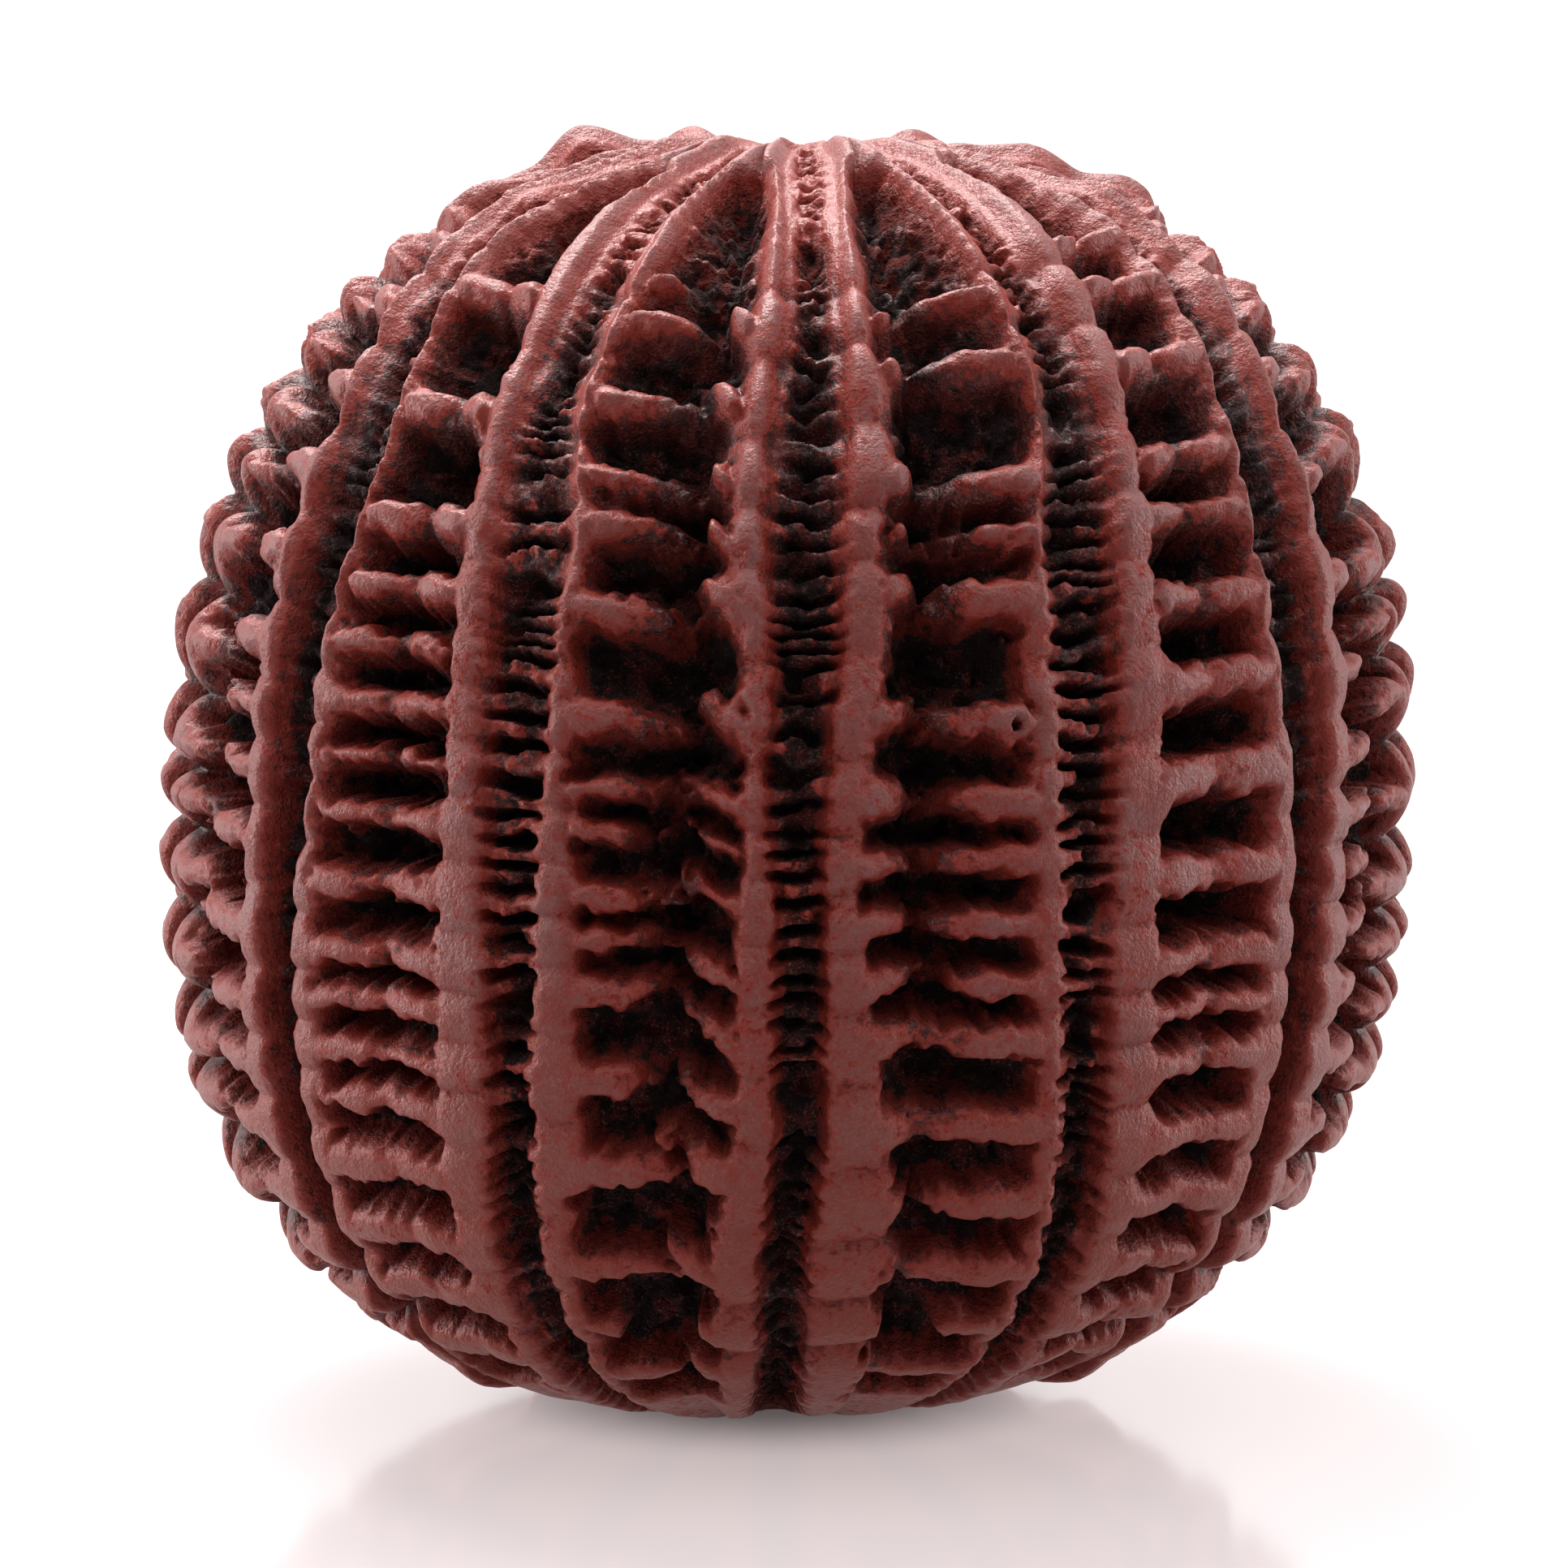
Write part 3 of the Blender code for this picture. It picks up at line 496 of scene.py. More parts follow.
def bars_inside(side, arc, share, band_width):
    """How far inside a bar a point is, in millimetres, for every bar: below 0 outside it."""
    along = arc[:, None] - side.heights - side.slant * share[:, None]
    reach = side.reach
    taper_start = np.minimum(side.taper_start, reach * BAR_TAPER_LATEST)
    past = np.clip(share[:, None] - taper_start, 0.0, None) / (reach - taper_start)
    behind = np.clip(-share * band_width, 0.0, None)[:, None]
    inside = side.half - np.hypot(along, past * side.half) - behind
    return np.where(reach > LEAST_REACH, inside, NO_BAR)


def smooth_most(values, blend):
    """Greatest of the values, with a rounded join where two are close."""
    top = values.max(axis=-1)
    return top + blend * np.log(np.exp((values - top[..., None]) / blend).sum(axis=-1))


def knobs(side, arc):
    """1 where a bar stands on its ridge, falling to 0 halfway to the next: round knobs with sharp notches."""
    phase = np.interp(arc, side.heights, np.arange(len(side.heights)))
    return np.abs(np.cos(math.pi * phase)) ** KNOB_SHARPNESS


def rungs(arc, floor_number, spots, noise):
    """1 on a rung across a groove floor and 0 between rungs. Rungs waver, and some are low."""
    line = np.stack([arc, np.full_like(arc, FLOOR_SPACING * floor_number), np.zeros_like(arc)], axis=1)
    sway, sway_size = RUNG_SWAY
    reach, size = RUNG_WAVER
    waver = sway * noise.at(line, sway_size) + reach * noise.at(spots, size)
    turn = (arc + waver) / RUNG_PITCH
    gap = np.abs(turn - np.round(turn)) * RUNG_PITCH
    usual, spread, size = RUNG_HEIGHT
    height = usual + spread * noise.at(spots, size)
    share = FLOOR_RUNG_SHARES.get(floor_number, FAR_RUNG_SHARE)
    return share * np.clip(height, 0.0, 1.0) * smooth(1.0 - (gap - RUNG_HALF) / RUNG_FLANK)


def pit_share(level, arc):
    """Share of the full depth at a distance outside the worn level."""
    outside = at_height(EDGE_OUTSIDES, arc)
    width = at_height(BOWL_WIDTHS, arc)
    share = at_height(EDGE_SHARES, arc)
    steep = 1.0 - smooth((level + outside) / (outside + at_height(EDGE_INSIDES, arc)))
    bowl = 1.0 - smooth((level + width) / width)
    return share * steep + (1.0 - share) * bowl


def ridge_edges(side, half_width, arc):
    """Where a ridge begins and ends, as shares of half a sector; neither it nor its groove gets too thin."""
    groove_least = np.minimum(GROOVE_LEAST, GROOVE_LEAST_SHARE * half_width)
    outer = np.minimum(np.interp(arc, EDGE_STOPS, side.outer), 1.0 - groove_least / half_width)
    inner = np.minimum(np.interp(arc, EDGE_STOPS, side.inner), outer - RIDGE_LEAST / half_width)
    return inner, outer


def crest_drop(side, arc):
    """How far the ridge's crest lies below its knobs."""
    foot_notch = FACING_FOOT_NOTCH if side.toothed else FOOT_NOTCH
    notch = side.notch + foot_notch * (1.0 - smooth(part_of_way(arc, FOOT_CLIMB)))
    return notch * (1.0 - knobs(side, arc))


def sector_relief(sector, floor_numbers, across, half_width, arc, spots, radius, noises):
    """Relief of one sector: height, how far inside the worn level, and drops below crests and below it."""
    waver = at_height(WAVER_SHARES, arc) * noises["edge"].layers(spots, EDGE_WAVER)
    on_right = across > sector.furrow
    inside = [BAND_LOWEST - arc, arc - sector.band_top]
    shares = []
    drops = []
    outers = []
    for sign, side in sector.sides.items():
        inner, outer = ridge_edges(side, half_width, arc)
        band = np.maximum(inner - sign * sector.furrow, LEAST_BAND)
        share = (inner - sign * across) / band
        inside.append((sign * across - inner) * half_width)
        inside.extend(bars_inside(side, arc, share, band * half_width).T)
        shares.append(share)
        drops.append(crest_drop(side, arc))
        outers.append(outer)
    band_level = smooth_most(np.stack(inside, axis=1), FILLET) + waver
    share = np.clip(np.minimum(*shares), 0.0, 1.0)

    outer = np.where(on_right, outers[1], outers[0])
    past_edge = np.abs(across) - outer
    rung = np.where(on_right,
                    rungs(arc, floor_numbers[1], spots, noises["rung"]),
                    rungs(arc, floor_numbers[0], spots, noises["rung"]))
    toothed = np.where(on_right, sector.sides[RIGHT].toothed, sector.sides[LEFT].toothed)
    teeth = toothed * at_height(RUNG_TEETH, arc) * (rung - 0.5)
    groove_level = -past_edge * half_width + GROOVE_WAVER_SHARE * waver + teeth
    level = np.minimum(band_level, groove_level)

    worn = 1.0 - smooth(level / at_height(SHOULDER_WIDTHS, arc))
    crest = -np.where(on_right, drops[1], drops[0]) * (1.0 - share)
    crest -= sector.tip_drop * at_height(BAR_TIP_DROPS, arc) * share ** TIP_DROP_POWER
    crest -= at_height(SHOULDER_DROPS, arc) * worn
    crest += noises["crest"].layers(spots, CREST_UNEVENNESS) - CREST_LOWERING

    rough = noises["pit"].layers(spots, PIT_ROUGHNESS)
    pit_depth = mixed(at_height(PIT_DEPTHS, arc), at_height(FURROW_DEPTHS, arc), smooth(share)) - rough
    groove_depth = at_height(GROOVE_DEPTHS, arc) - at_height(RUNG_RISES, arc) * rung
    groove_depth -= at_height(GROOVE_ROUGHNESS, arc) * rough
    floor_number = np.where(on_right, floor_numbers[1], floor_numbers[0])
    above_lip = (floor_number == LIP_FLOOR) * smooth((arc - LIP_ARC) / LIP_FLANK)
    groove_depth *= 1.0 - LIP_SHARE * above_lip
    pit = pit_share(band_level, arc)
    slope = smooth(past_edge / (1.0 - outer) + waver)
    groove = mixed(pit_share(groove_level, arc), slope, at_height(GROOVE_SLOPES, arc))
    dip = np.maximum(pit * np.maximum(pit_depth + crest, LEAST_DEPTH),
                     groove * np.maximum(groove_depth + crest, LEAST_DEPTH))
    on_wall = smooth(WALL_STEEPNESS * np.maximum(pit, groove) - WALL_START)
    dip += on_wall * noises["wall"].layers(spots, WALL_ROUGHNESS)

    high_up = arc > MIDDLE_ARC
    fade_start = np.where(high_up, UPPER_FADE[0], LOWER_FADE[0])
    fade_end = np.where(high_up, UPPER_FADE[1], LOWER_FADE[1])
    depth = smooth((radius - fade_start) / (fade_end - fade_start))
    rise = sum(high * (1.0 - smooth(np.abs(radius - distance) / FAR_KNOB_REACH))
               for distance, high in sector.knobs)
    return depth * (crest - dip) + rise, level, depth * (dip - crest - CREST_LOWERING), depth * dip


def sector_numbers(shell, sectors, longitude, arc):
    """The sector of each point, with its place from the first groove floor at 0 to the next at 1."""
    turn, radius = shell.grown(longitude, arc)
    first = groove_line(sectors[0], arc)
    turned = np.mod(turn - first, 360.0)
    offsets = [groove_line(sector, arc) - first for sector in sectors] + [np.full_like(arc, 360.0)]
    number = sum((turned >= offset).astype(int) for offset in offsets[1:-1])
    low = np.choose(number, offsets[:-1])
    high = np.choose(number, offsets[1:])
    return number, (turned - low) / (high - low), np.radians(high - low) / 2 * radius, radius


def relief(shell, sectors, longitude, arc, noises):
    """Height above the bare shell, distance inside the worn level, and drops below crests and below it."""
    number, place, half_width, radius = sector_numbers(shell, sectors, longitude, arc)
    spots = shell.place(longitude, arc, np.zeros_like(arc))
    results = np.zeros((4, len(arc)))
    for index, sector in enumerate(sectors):
        mask = number == index
        floor_numbers = (index, (index + 1) % SECTOR_COUNT)
        results[:, mask] = sector_relief(sector, floor_numbers, place[mask] * 2.0 - 1.0, half_width[mask],
                                         arc[mask], spots[mask], radius[mask], noises)
    hole = pinhole(longitude, arc)
    results[0] += lumps(longitude, arc) - hollow(spots) - hole
    results[2:] += hole
    return results


def pinhole(longitude, arc):
    """Depth of the small round hole."""
    middle, height, radius, flank, depth = PINHOLE
    away = np.hypot(np.radians(longitude - middle) * SHELL_RADIUS, arc - height)
    return depth * (1.0 - smooth((away - radius) / flank))


def hollow(spots):
    """Depth of the shallow hollow round the stem end."""
    away = np.hypot(spots[:, 0] - SIDEWAYS_LEAN * spots[:, 2], spots[:, 1] - HOLLOW_SETBACK)
    near = 1.0 - smooth(part_of_way(away, HOLLOW_REACH))
    return HOLLOW_DEPTH * near * smooth(part_of_way(spots[:, 2], (BELLY_HEIGHT, SHELL_HEIGHT)))


def lumps(longitude, arc):
    """Slow swells that keep the shell from being perfectly turned."""
    turn = np.radians(longitude)
    along = arc / LUMP_CLIMB
    swell = sum(np.sin(waves * turn + phase + twist * along) for waves, phase, twist in SWELLS)
    return LUMP_HEIGHT * swell / len(SWELLS)


def grid_mesh(shell, sectors, noises):
    """Closed grid of the whole surface, in metres."""
    arcs = np.linspace(POLE_MARGIN, shell.arc[-1] - POLE_MARGIN, RINGS)
    longitudes = np.arange(AROUND) * 360.0 / AROUND
    arc, longitude = (part.ravel() for part in np.meshgrid(arcs, longitudes, indexing="ij"))
    height, level, drop, dip = relief(shell, sectors, longitude, arc, noises)
    points = shell.place(longitude, arc, height)
    crumb = smooth((dip - CRUMB_START) / CRUMB_RAMP)[:, None]
    points += crumb * np.stack([noises[axis].layers(points, PIT_CRUMBS) for axis in "xyz"], axis=1)
    poles = np.stack([points[:AROUND].mean(axis=0), points[-AROUND:].mean(axis=0)])
    vertices = np.concatenate([points, poles]) * MM
    vertices[:, 2] = np.maximum(vertices[:, 2], 0.0)
    ring, column = np.meshgrid(np.arange(RINGS - 1), np.arange(AROUND), indexing="ij")
    following = (column + 1) % AROUND
    a = ring * AROUND + column
    b = ring * AROUND + following
    quads = np.stack([a, b, b + AROUND, a + AROUND], axis=-1).reshape(-1, 4)
    column = np.arange(AROUND)
    following = (column + 1) % AROUND
    lower = np.stack([np.full(AROUND, RINGS * AROUND), following, column], axis=-1)
    top = (RINGS - 1) * AROUND
    upper = np.stack([np.full(AROUND, RINGS * AROUND + 1), top + column, top + following], axis=-1)
    loops = np.concatenate([quads.ravel(), lower.ravel(), upper.ravel()])
    sizes = np.concatenate([np.full(len(quads), 4), np.full(2 * AROUND, 3)])
    return made_mesh("seed_surface", vertices, loops, sizes)


def made_mesh(name, vertices, loops, sizes):
    """A mesh from arrays: corner numbers face after face, and the corners that each face has."""
    mesh = bpy.data.meshes.new(name)
    mesh.vertices.add(len(vertices))
    mesh.vertices.foreach_set("co", vertices.ravel().astype(np.float32))
    mesh.loops.add(len(loops))
    mesh.loops.foreach_set("vertex_index", loops.astype(np.int32))
    mesh.polygons.add(len(sizes))
    starts = np.concatenate([[0], np.cumsum(sizes)[:-1]])
    mesh.polygons.foreach_set("loop_start", starts.astype(np.int32))
    mesh.update(calc_edges=True)
    return mesh


def reduced(mesh):
    """The mesh with the number of triangles that is kept, most of them where it bends most."""
    piece = bpy.data.objects.new("whole_surface", mesh)
    bpy.context.scene.collection.objects.link(piece)
    if KEPT_TRIANGLES:
        mesh.calc_loop_triangles()
        decimate = piece.modifiers.new("fewer", "DECIMATE")
        decimate.ratio = KEPT_TRIANGLES / len(mesh.loop_triangles)
    triangulate = piece.modifiers.new("triangles", "TRIANGULATE")
    triangulate.quad_method = "SHORTEST_DIAGONAL"
    evaluated = piece.evaluated_get(bpy.context.evaluated_depsgraph_get())
    result = bpy.data.meshes.new_from_object(evaluated)
    bpy.data.objects.remove(piece)
    return result


def read_vectors(items, name, kind=np.float32):
    values = np.empty(len(items) * 3, dtype=kind)
    items.foreach_get(name, values)
    return values.reshape(-1, 3)


def store(mesh, name, values):
    layer = mesh.attributes.new(name, "FLOAT", "POINT")
    layer.data.foreach_set("value", values.astype(np.float32))


def make_faces():
    """One piece for each face of the seed, from groove floor to groove floor, parted from one surface."""
    shell = Shell()
    sectors = make_sectors()
    names = ("edge", "pit", "crest", "rung", "x", "y", "z", "wall")
    noises = {name: Noise(SEED + index) for index, name in enumerate(names)}
    whole = reduced(grid_mesh(shell, sectors, noises))
    places = read_vectors(whole.vertices, "co")
    normals = read_vectors(whole.vertex_normals, "vector")
    corners = read_vectors(whole.polygons, "vertices", np.int32)
    longitude, arc = shell.locate(places.astype(float) / MM)
    height, level, drop, dip = relief(shell, sectors, longitude, arc, noises)
    places[:, 2] = np.maximum(places[:, 2], 0.0)
    values = {"worn_level": np.clip(level, *LEVEL_LIMITS), "drop": np.clip(drop, *DROP_LIMITS),
              "dip": np.clip(dip, *DIP_LIMITS), "climb": arc / shell.arc[-1]}

    middles = places[corners].mean(axis=1).astype(float) / MM
    number = sector_numbers(shell, sectors, *shell.locate(middles))[0]
    faces = []
    for index in range(SECTOR_COUNT):
        chosen = corners[number == index]
        used, local = np.unique(chosen, return_inverse=True)
        mesh = made_mesh(f"face_{index + 1:02d}", places[used], local.ravel(), np.full(len(chosen), 3))
        mesh.shade_smooth()
        mesh.normals_split_custom_set_from_vertices(normals[used])
        for name, value in values.items():
            store(mesh, name, value[used])
        piece = bpy.data.objects.new(mesh.name, mesh)
        bpy.context.scene.collection.objects.link(piece)
        faces.append(piece)
    bpy.data.meshes.remove(whole)
    return faces


class Nodes:
    """Short ways to add and join shader nodes."""
    # Places of the colours on a mix node, where several sockets have the same name
    FIRST_COLOUR, SECOND_COLOUR, MIXED_COLOUR = 6, 7, 2

    def __init__(self, material):
        self.tree = material.node_tree

    def add(self, kind, values=None, **settings):
        node = self.tree.nodes.new(kind)
        for name, value in settings.items():
            setattr(node, name, value)
        for name, value in (values or {}).items():
            self.feed(node.inputs[name], value)
        return node

    def feed(self, socket, value):
        if isinstance(value, bpy.types.NodeSocket):
            self.tree.links.new(value, socket)
        else:
            socket.default_value = value

    def attribute(self, name):
        return self.add("ShaderNodeAttribute", attribute_name=name).outputs["Fac"]

    def math(self, operation, first, second):
        return self.add("ShaderNodeMath", {0: first, 1: second}, operation=operation).outputs[0]

    def plus(self, first, second):
        return self.math("ADD", first, second)

    def times(self, first, second):
        return self.math("MULTIPLY", first, second)

    def greater(self, first, second):
        return self.math("MAXIMUM", first, second)

    def about_middle(self, noise):
        """A noise from 0 to 1, moved to lie about 0."""
        return self.math("SUBTRACT", noise, 0.5)

    def ramp(self, value, low, high, start=0.0, end=1.0):
        node = self.add("ShaderNodeMapRange", interpolation_type="SMOOTHSTEP")
        for name, part in (("Value", value), ("From Min", low), ("From Max", high),
                           ("To Min", start), ("To Max", end)):
            self.feed(node.inputs[name], part)
        return node.outputs["Result"]

    def noise(self, place, size, detail, roughness):
        values = {"Vector": place, "Scale": 1.0 / size, "Detail": detail, "Roughness": roughness}
        return self.add("ShaderNodeTexNoise", values).outputs["Fac"]

    def blend(self, first, second, share):
        node = self.add("ShaderNodeMix", data_type="RGBA")
        self.feed(node.inputs["Factor"], share)
        self.feed(node.inputs[self.FIRST_COLOUR], first)
        self.feed(node.inputs[self.SECOND_COLOUR], second)
        return node.outputs[self.MIXED_COLOUR]


WORN_PINK = (0.138, 0.034, 0.029, 1.0)
# Grey of worn crests, also used as the painted highlight on the crests towards the stem end
WORN_GREY_AND_PAINTED_HIGHLIGHT = (0.138, 0.049, 0.045, 1.0)
WORN_RED = (0.165, 0.016, 0.009, 1.0)
WORN_ORANGE = (0.155, 0.030, 0.019, 1.0)
EDGE_RED = (0.100, 0.0090, 0.0050, 1.0)
PIT_BROWN = (0.020, 0.0040, 0.0030, 1.0)
# Black of the painted shade in the deepest pits
PAINTED_SHADE_BLACK = (0.0022, 0.0010, 0.0009, 1.0)
# Pale dust, also used for painted glints on the crests towards the stem end
DUST_AND_PAINTED_GLINT = (0.17, 0.105, 0.105, 1.0)
SHELL_IOR = 1.36
SHELL_SPECULAR_TINT = (1.0, 0.62, 0.60, 1.0)

# Noises of the finish: feature size in millimetres, detail and roughness
COARSE = (1.6, 3.0, 0.55)
MEDIUM = (0.50, 2.0, 0.55)
FINE = (0.13, 3.0, 0.65)
GRAIN = (0.055, 2.0, 0.55)

# The mottle is the medium and the fine noise about their middle. It frays what follows a depth or a level.
MOTTLE_OF_MEDIUM = 0.8
MOTTLE_OF_FINE = 0.9
BROKEN_OF_MOTTLE = 0.7
LEVEL_OF_MOTTLE = 0.4

# Smooth steps of the finish: where each begins and ends, then its values there if they aren't 0 and 1.
# Steps by climb change towards the stem end, from 0 at the foot to 1. Shares are the most that is mixed in.
DEPTH_BY_CLIMB = (0.70, 0.86, 1.0, 0.52)
GREY_BY_COARSE = (0.44, 0.62)
# Painted highlight: crests greyer towards the stem end, where light falls from above
PAINTED_HIGHLIGHT_BY_CLIMB = (0.74, 0.88, 0.0, 0.85)
ORANGE_BY_CLIMB = (0.22, 0.50)
BLOTCH_BY_MEDIUM = (0.50, 0.68)
BLOTCH_SHARE = 0.42
# Pale specks on the crests: dust, with more of them towards the stem end as painted glints of light
DUST_AND_GLINT_BY_GRAIN = (0.55, 0.66)
DUST_AND_PAINTED_GLINT_BY_CLIMB = (0.70, 0.88, 0.25, 0.55)
DARK_BY_GRAIN = (0.42, 0.36)
DARK_GRAIN_SHARE = 0.12
DARK_BY_FINE = (0.47, 0.33)
DARK_FINE_SHARE = 0.20
PALE_BY_FINE = (0.55, 0.69)
PALE_FINE_SHARE = 0.18
LEVEL_BY_CLIMB = (0.62, 0.80, 1.0, 0.55)
NEAR_EDGE_BY_LEVEL = (0.22, 0.02)
NEAR_EDGE_SHARE = 0.72
RED_BY_DEPTH = (0.12, 0.24)
EDGE_RED_BY_DEPTH = (0.20, 0.32)
CLIFF_BY_CLIMB = (0.84, 0.70)
PIT_BY_DEPTH = (0.27, 0.43)
PIT_BY_LEVEL = ((-0.03, -0.09), (0.24, 0.34))
# Painted shade: where the pits turn black with depth and with distance inside the worn level
PAINTED_SHADE_BY_DEPTH = (0.42, 0.66)
PAINTED_SHADE_BY_LEVEL = ((-0.07, -0.14), (0.32, 0.48))
PIT_RED_BY_MEDIUM = (0.48, 0.62)
PIT_RED_BY_CLIMB = (0.70, 0.85, 0.35, 0.65)
PIT_DUST_BY_GRAIN = (0.54, 0.66)
PIT_DUST_BY_MEDIUM = (0.40, 0.56, 0.04, 0.34)
PIT_DUST_BY_CLIMB = (0.70, 0.85, 1.0, 0.25)
RIM_OUTSIDE = (0.09, 0.02)
RIM_INSIDE = (-0.14, -0.06)
RIM_BY_CLIMB = (0.72, 0.60, 0.25, 0.85)

# Roughness and grain of the surface, from worn to broken
ROUGHNESS_BY_BROKEN = (0.08, 0.45, 0.42, 0.97)
ROUGHNESS_OF_FINE = 0.6
BUMP_BY_BROKEN = (0.08, 0.40, 0.30, 1.0)
BUMP_OF_FINE = 0.7
BUMP_OF_GRAIN = 0.3
BUMP_HEIGHT = 0.30


def crest_colour(nodes, noise, climb, level, mottle):
    """Worn pink, greyer in places, greyer towards the stem end as a painted highlight, redder towards its
    edges, with specks of dust and painted glints.
    """
    # Greyer in places as wear, and greyer towards the stem end as a painted highlight
    grey_wear_and_painted_highlight = nodes.greater(nodes.ramp(noise["coarse"], *GREY_BY_COARSE), nodes.ramp(climb, *PAINTED_HIGHLIGHT_BY_CLIMB))
    crest = nodes.blend(WORN_PINK, WORN_GREY_AND_PAINTED_HIGHLIGHT, grey_wear_and_painted_highlight)
    crest = nodes.blend(WORN_ORANGE, crest, nodes.ramp(climb, *ORANGE_BY_CLIMB))
    blotches = nodes.times(nodes.ramp(noise["medium"], *BLOTCH_BY_MEDIUM), BLOTCH_SHARE)
    crest = nodes.blend(crest, WORN_RED, blotches)
    # Dust specks on the crests, more of them towards the stem end as painted glints
    dust_and_painted_glints = nodes.times(nodes.ramp(noise["grain"], *DUST_AND_GLINT_BY_GRAIN), nodes.ramp(climb, *DUST_AND_PAINTED_GLINT_BY_CLIMB))
    crest = nodes.blend(crest, DUST_AND_PAINTED_GLINT, dust_and_painted_glints)
    for colour, name, limits, share in ((PIT_BROWN, "grain", DARK_BY_GRAIN, DARK_GRAIN_SHARE),
                                        (PIT_BROWN, "fine", DARK_BY_FINE, DARK_FINE_SHARE),
                                        (DUST_AND_PAINTED_GLINT, "fine", PALE_BY_FINE, PALE_FINE_SHARE)):
        crest = nodes.blend(crest, colour, nodes.times(nodes.ramp(noise[name], *limits), share))
    from_edge = nodes.times(level, nodes.ramp(climb, *LEVEL_BY_CLIMB))
    near_edge = nodes.ramp(nodes.plus(from_edge, mottle), *NEAR_EDGE_BY_LEVEL)
    return nodes.blend(crest, WORN_RED, nodes.times(near_edge, NEAR_EDGE_SHARE))


def pit_colour(nodes, noise, climb, painted_shade):
    """The pits' own dark brown, turned black by painted shade where they lie deepest, with reddish patches and
    pale dust.
    """
    pit = nodes.blend(PIT_BROWN, PAINTED_SHADE_BLACK, painted_shade)
    reddish = nodes.times(nodes.ramp(noise["medium"], *PIT_RED_BY_MEDIUM),
                          nodes.ramp(climb, *PIT_RED_BY_CLIMB))
    pit = nodes.blend(pit, EDGE_RED, reddish)
    dusty = nodes.times(nodes.ramp(noise["grain"], *PIT_DUST_BY_GRAIN),
                        nodes.ramp(noise["medium"], *PIT_DUST_BY_MEDIUM))
    return nodes.blend(pit, DUST_AND_PAINTED_GLINT, nodes.times(dusty, nodes.ramp(climb, *PIT_DUST_BY_CLIMB)))


def shell_material():
    """Worn pinkish crests over red broken edges and dark brown pits that painted shade makes almost black."""
    material = bpy.data.materials.new("rudraksha_shell")
    material.use_nodes = True
    nodes = Nodes(material)
    surface = material.node_tree.nodes["Principled BSDF"]
    position = nodes.add("ShaderNodeTexCoord").outputs["Object"]
    scaling = {0: position, "Scale": 1.0 / MM}
    place = nodes.add("ShaderNodeVectorMath", scaling, operation="SCALE").outputs[0]
    drop = nodes.attribute("drop")
    dip = nodes.attribute("dip")
    level = nodes.attribute("worn_level")
    climb = nodes.attribute("climb")
    kinds = {"coarse": COARSE, "medium": MEDIUM, "fine": FINE, "grain": GRAIN}
    noise = {name: nodes.noise(place, *values) for name, values in kinds.items()}

    mottle = nodes.plus(nodes.times(nodes.about_middle(noise["medium"]), MOTTLE_OF_MEDIUM),
                        nodes.times(nodes.about_middle(noise["fine"]), MOTTLE_OF_FINE))
    depth = nodes.times(nodes.plus(drop, mottle), nodes.ramp(climb, *DEPTH_BY_CLIMB))
    broken = nodes.plus(dip, nodes.times(mottle, BROKEN_OF_MOTTLE))
    edge = nodes.plus(level, nodes.times(mottle, -LEVEL_OF_MOTTLE))
    rim = nodes.plus(level, nodes.times(mottle, LEVEL_OF_MOTTLE))

    # Below the edge of a crest, where the pits' brown begins, and well below it, where painted shade turns
    # them black, wherever the ground is deep enough as well
    cliff = nodes.ramp(climb, *CLIFF_BY_CLIMB)
    below, painted_shade_below = (
        nodes.times(nodes.times(nodes.ramp(edge, *by_level), cliff), nodes.ramp(depth, *by_depth))
        for by_level, by_depth in (PIT_BY_LEVEL, PAINTED_SHADE_BY_LEVEL))
    # Painted shade: black where the pits lie deepest
    painted_shade = nodes.greater(nodes.ramp(depth, *PAINTED_SHADE_BY_DEPTH), painted_shade_below)

    crest = crest_colour(nodes, noise, climb, level, mottle)
    red = nodes.blend(WORN_RED, EDGE_RED, nodes.ramp(depth, *EDGE_RED_BY_DEPTH))
    pit = pit_colour(nodes, noise, climb, painted_shade)
    colour = nodes.blend(crest, red, nodes.ramp(depth, *RED_BY_DEPTH))
    colour = nodes.blend(colour, pit, nodes.greater(nodes.ramp(depth, *PIT_BY_DEPTH), below))
    on_rim = nodes.math("MINIMUM", nodes.ramp(rim, *RIM_OUTSIDE), nodes.ramp(rim, *RIM_INSIDE))
    colour = nodes.blend(colour, EDGE_RED, nodes.times(on_rim, nodes.ramp(climb, *RIM_BY_CLIMB)))
    nodes.feed(surface.inputs["Base Color"], colour)

    surface.inputs["IOR"].default_value = SHELL_IOR
    surface.inputs["Specular Tint"].default_value = SHELL_SPECULAR_TINT

    rough = nodes.plus(nodes.ramp(broken, *ROUGHNESS_BY_BROKEN),
                       nodes.times(nodes.about_middle(noise["fine"]), ROUGHNESS_OF_FINE))
    nodes.feed(surface.inputs["Roughness"], rough)
    height = nodes.plus(nodes.times(noise["fine"], BUMP_OF_FINE), nodes.times(noise["grain"], BUMP_OF_GRAIN))
    bumps = {"Height": height, "Strength": nodes.ramp(broken, *BUMP_BY_BROKEN), "Distance": BUMP_HEIGHT * MM}
    bump = nodes.add("ShaderNodeBump", bumps)
    nodes.feed(surface.inputs["Normal"], bump.outputs["Normal"])
    return material


# Camera of the photograph: a long lens from a little above, aimed just below the seed's middle
CAMERA_DISTANCE = 200.0
CAMERA_CLIMB = 9.0
CAMERA_TARGET = (0.245, 0.0, 11.64)
CAMERA_LENS = 243.36
CAMERA_SENSOR = 36.0
CAMERA_CLIP_START = 0.01


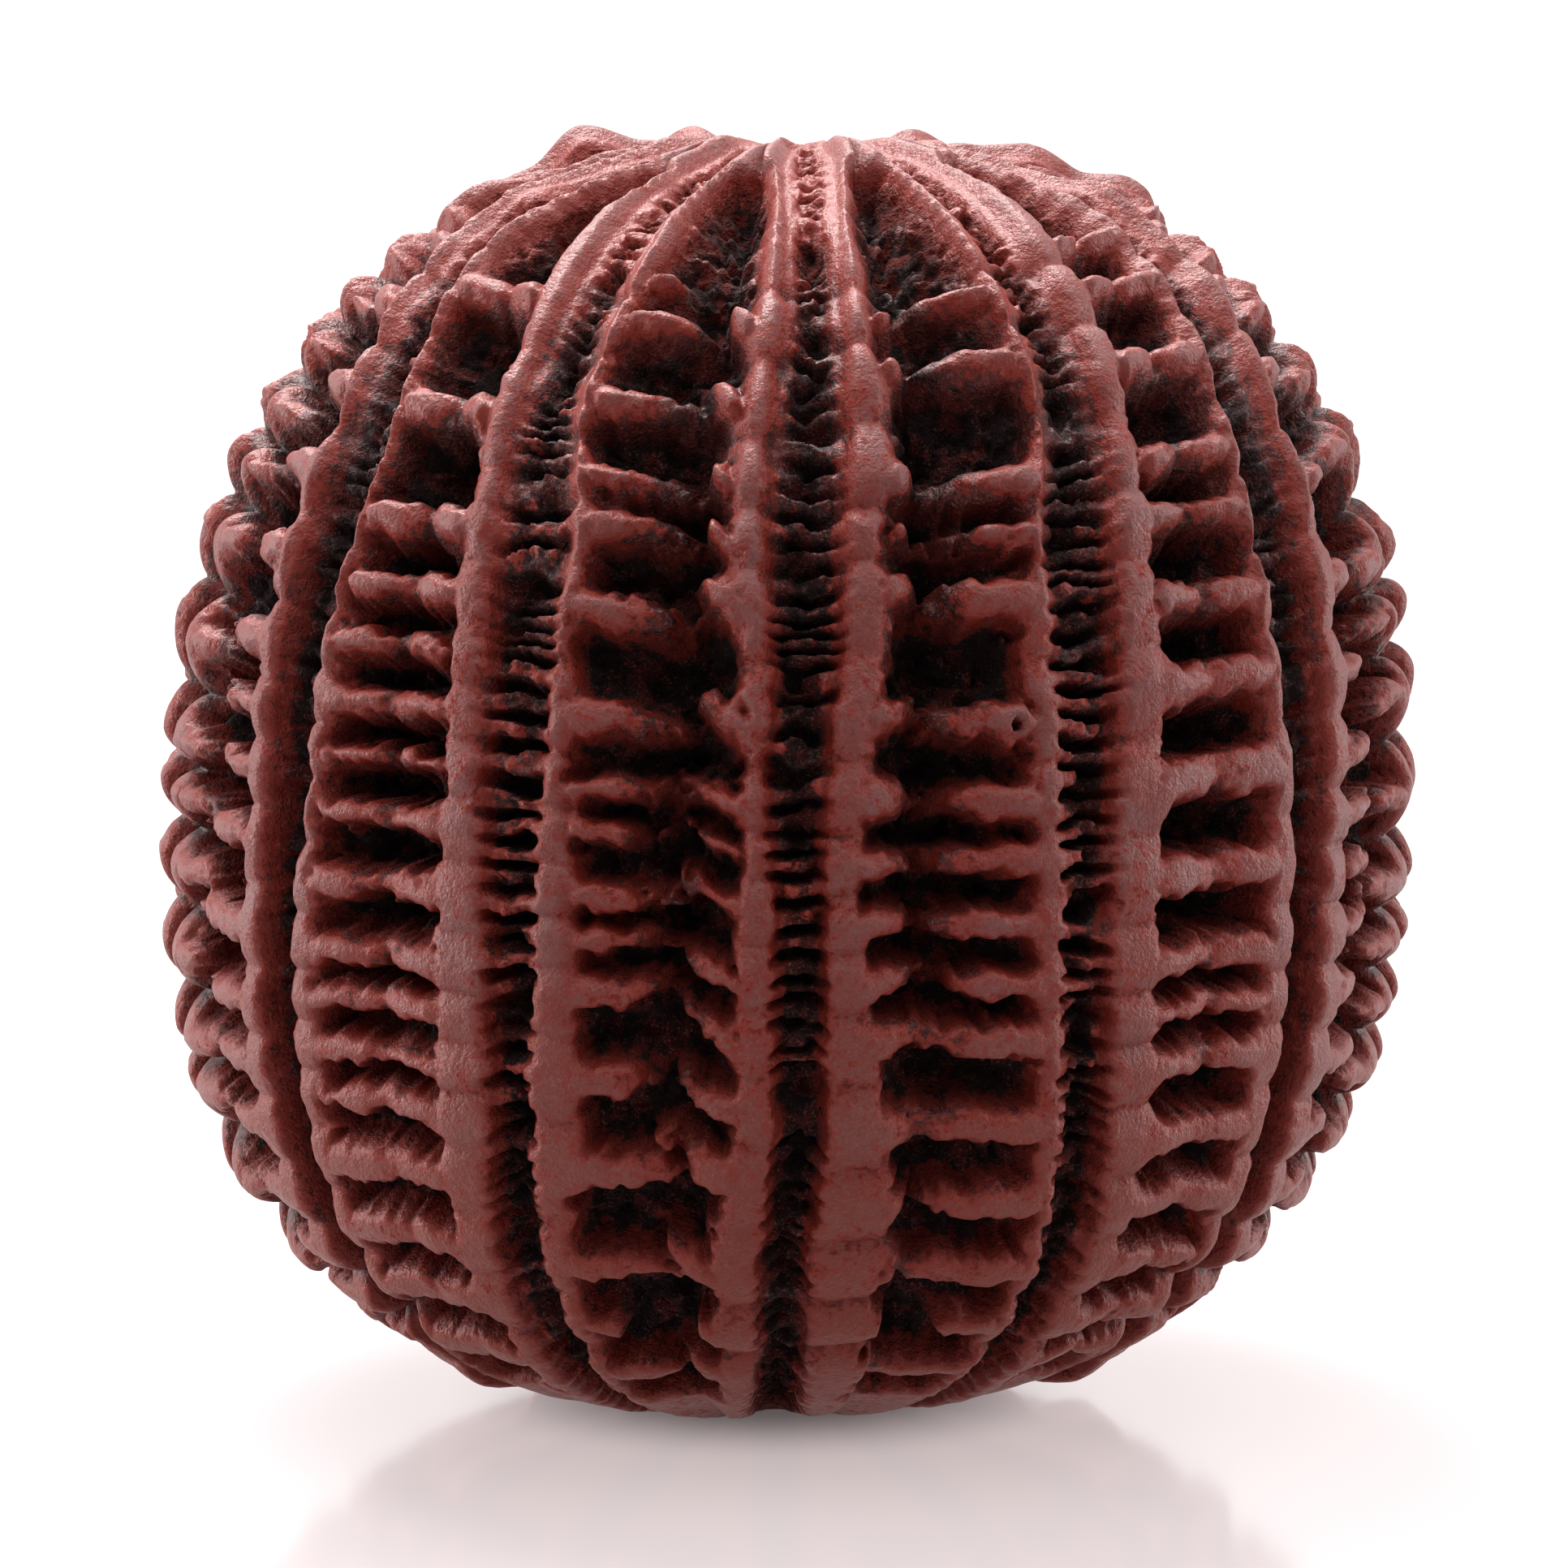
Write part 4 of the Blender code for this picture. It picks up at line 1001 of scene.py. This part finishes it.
def make_camera():
    camera = bpy.data.cameras.new("photo_camera")
    camera.lens = CAMERA_LENS
    camera.sensor_width = CAMERA_SENSOR
    camera.clip_start = CAMERA_CLIP_START
    holder = bpy.data.objects.new("photo_camera", camera)
    bpy.context.scene.collection.objects.link(holder)
    climb = math.radians(CAMERA_CLIMB)
    back = Vector((0.0, -math.cos(climb), math.sin(climb)))
    target = Vector(CAMERA_TARGET) * MM
    holder.location = target + back * CAMERA_DISTANCE * MM
    holder.rotation_euler = (-back).to_track_quat("-Z", "Y").to_euler()
    bpy.context.scene.camera = holder


# Floor: half its width in metres, and its finish. It glows with painted light that evens it out and lights the
# seed from below, and the glow is weak near the foot as a painted contact shadow: between two distances from
# the foot, in millimetres, it grows from the first glow to the second.
FLOOR_HALF = 3.0
FLOOR_COLOUR = (0.20, 0.195, 0.195, 1.0)
FLOOR_ROUGHNESS = 0.12
FLOOR_PAINTED_LIGHT_COLOUR = (1.0, 0.86, 0.865, 1.0)
FLOOR_PAINTED_SHADOW_REACH = (2.0, 6.5)
FLOOR_PAINTED_LIGHT = (0.10, 0.53)


def make_floor():
    """Pale glossy table that the seed stands on, glowing with painted light that is dimmed near the foot as a
    painted contact shadow.
    """
    mesh = bpy.data.meshes.new("floor")
    corners = [(-FLOOR_HALF, -FLOOR_HALF, 0), (FLOOR_HALF, -FLOOR_HALF, 0),
               (FLOOR_HALF, FLOOR_HALF, 0), (-FLOOR_HALF, FLOOR_HALF, 0)]
    mesh.from_pydata(corners, [], [(0, 1, 2, 3)])
    floor = bpy.data.objects.new("floor", mesh)
    bpy.context.scene.collection.objects.link(floor)
    material = bpy.data.materials.new("pale_table")
    material.use_nodes = True
    surface = material.node_tree.nodes["Principled BSDF"]
    surface.inputs["Base Color"].default_value = FLOOR_COLOUR
    surface.inputs["Emission Color"].default_value = FLOOR_PAINTED_LIGHT_COLOUR
    nodes = Nodes(material)
    place = nodes.add("ShaderNodeTexCoord").outputs["Object"]
    away = nodes.add("ShaderNodeVectorMath", {0: place}, operation="LENGTH").outputs["Value"]
    nearest, farthest = FLOOR_PAINTED_SHADOW_REACH
    # Painted light of the floor, weak near the foot as a painted contact shadow
    painted_light = nodes.ramp(away, nearest * MM, farthest * MM, *FLOOR_PAINTED_LIGHT)
    nodes.feed(surface.inputs["Emission Strength"], painted_light)
    surface.inputs["Roughness"].default_value = FLOOR_ROUGHNESS
    mesh.materials.append(material)


# Tent: its strength by the direction's Y and what is added by its Z, as limits and values there
TENT_COLOUR = (1.0, 0.985, 0.99, 1.0)
TENT_BEHIND = (-0.75, 0.35, 0.22, 0.98)
TENT_ABOVE = (0.35, 0.98, 0.0, 2.4)


def make_light():
    """Bright tent all round and above, dimmer on the camera's side."""
    scene = bpy.context.scene
    world = bpy.data.worlds.new("tent")
    scene.world = world
    world.use_nodes = True
    nodes = Nodes(world)
    background = world.node_tree.nodes["Background"]
    direction = nodes.add("ShaderNodeTexCoord").outputs["Generated"]
    parts = nodes.add("ShaderNodeSeparateXYZ", {"Vector": direction})
    behind = nodes.ramp(parts.outputs["Y"], *TENT_BEHIND)
    above = nodes.ramp(parts.outputs["Z"], *TENT_ABOVE)
    nodes.feed(background.inputs["Strength"], nodes.plus(behind, above))
    background.inputs["Color"].default_value = TENT_COLOUR


# Softboxes that the seed stands between, as name, place, width and power, in metres and watts
SOFTBOXES = (("softbox_above", (-0.03, 0.08, 0.15), 0.09, 0.58),
             ("softbox_left", (-0.16, 0.03, 0.035), 0.10, 0.30),
             ("softbox_right", (0.16, 0.04, 0.035), 0.10, 0.18))
SOFTBOX_TARGET = (0.0, 0.0, 0.014)


def lamp(name, place, target, width, power):
    light = bpy.data.lights.new(name, "AREA")
    light.size = width
    light.energy = power
    holder = bpy.data.objects.new(name, light)
    bpy.context.scene.collection.objects.link(holder)
    holder.location = Vector(place)
    holder.rotation_euler = (Vector(target) - Vector(place)).to_track_quat("-Z", "Y").to_euler()


shell_finish = shell_material()
for face in make_faces():
    face.data.materials.append(shell_finish)
    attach(face, "root")
    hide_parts("rudraksha_seed")
make_floor()
make_light()
for name, place, width, power in SOFTBOXES:
    lamp(name, place, SOFTBOX_TARGET, width, power)
make_camera()
bpy.context.scene.view_settings.view_transform = "Standard"
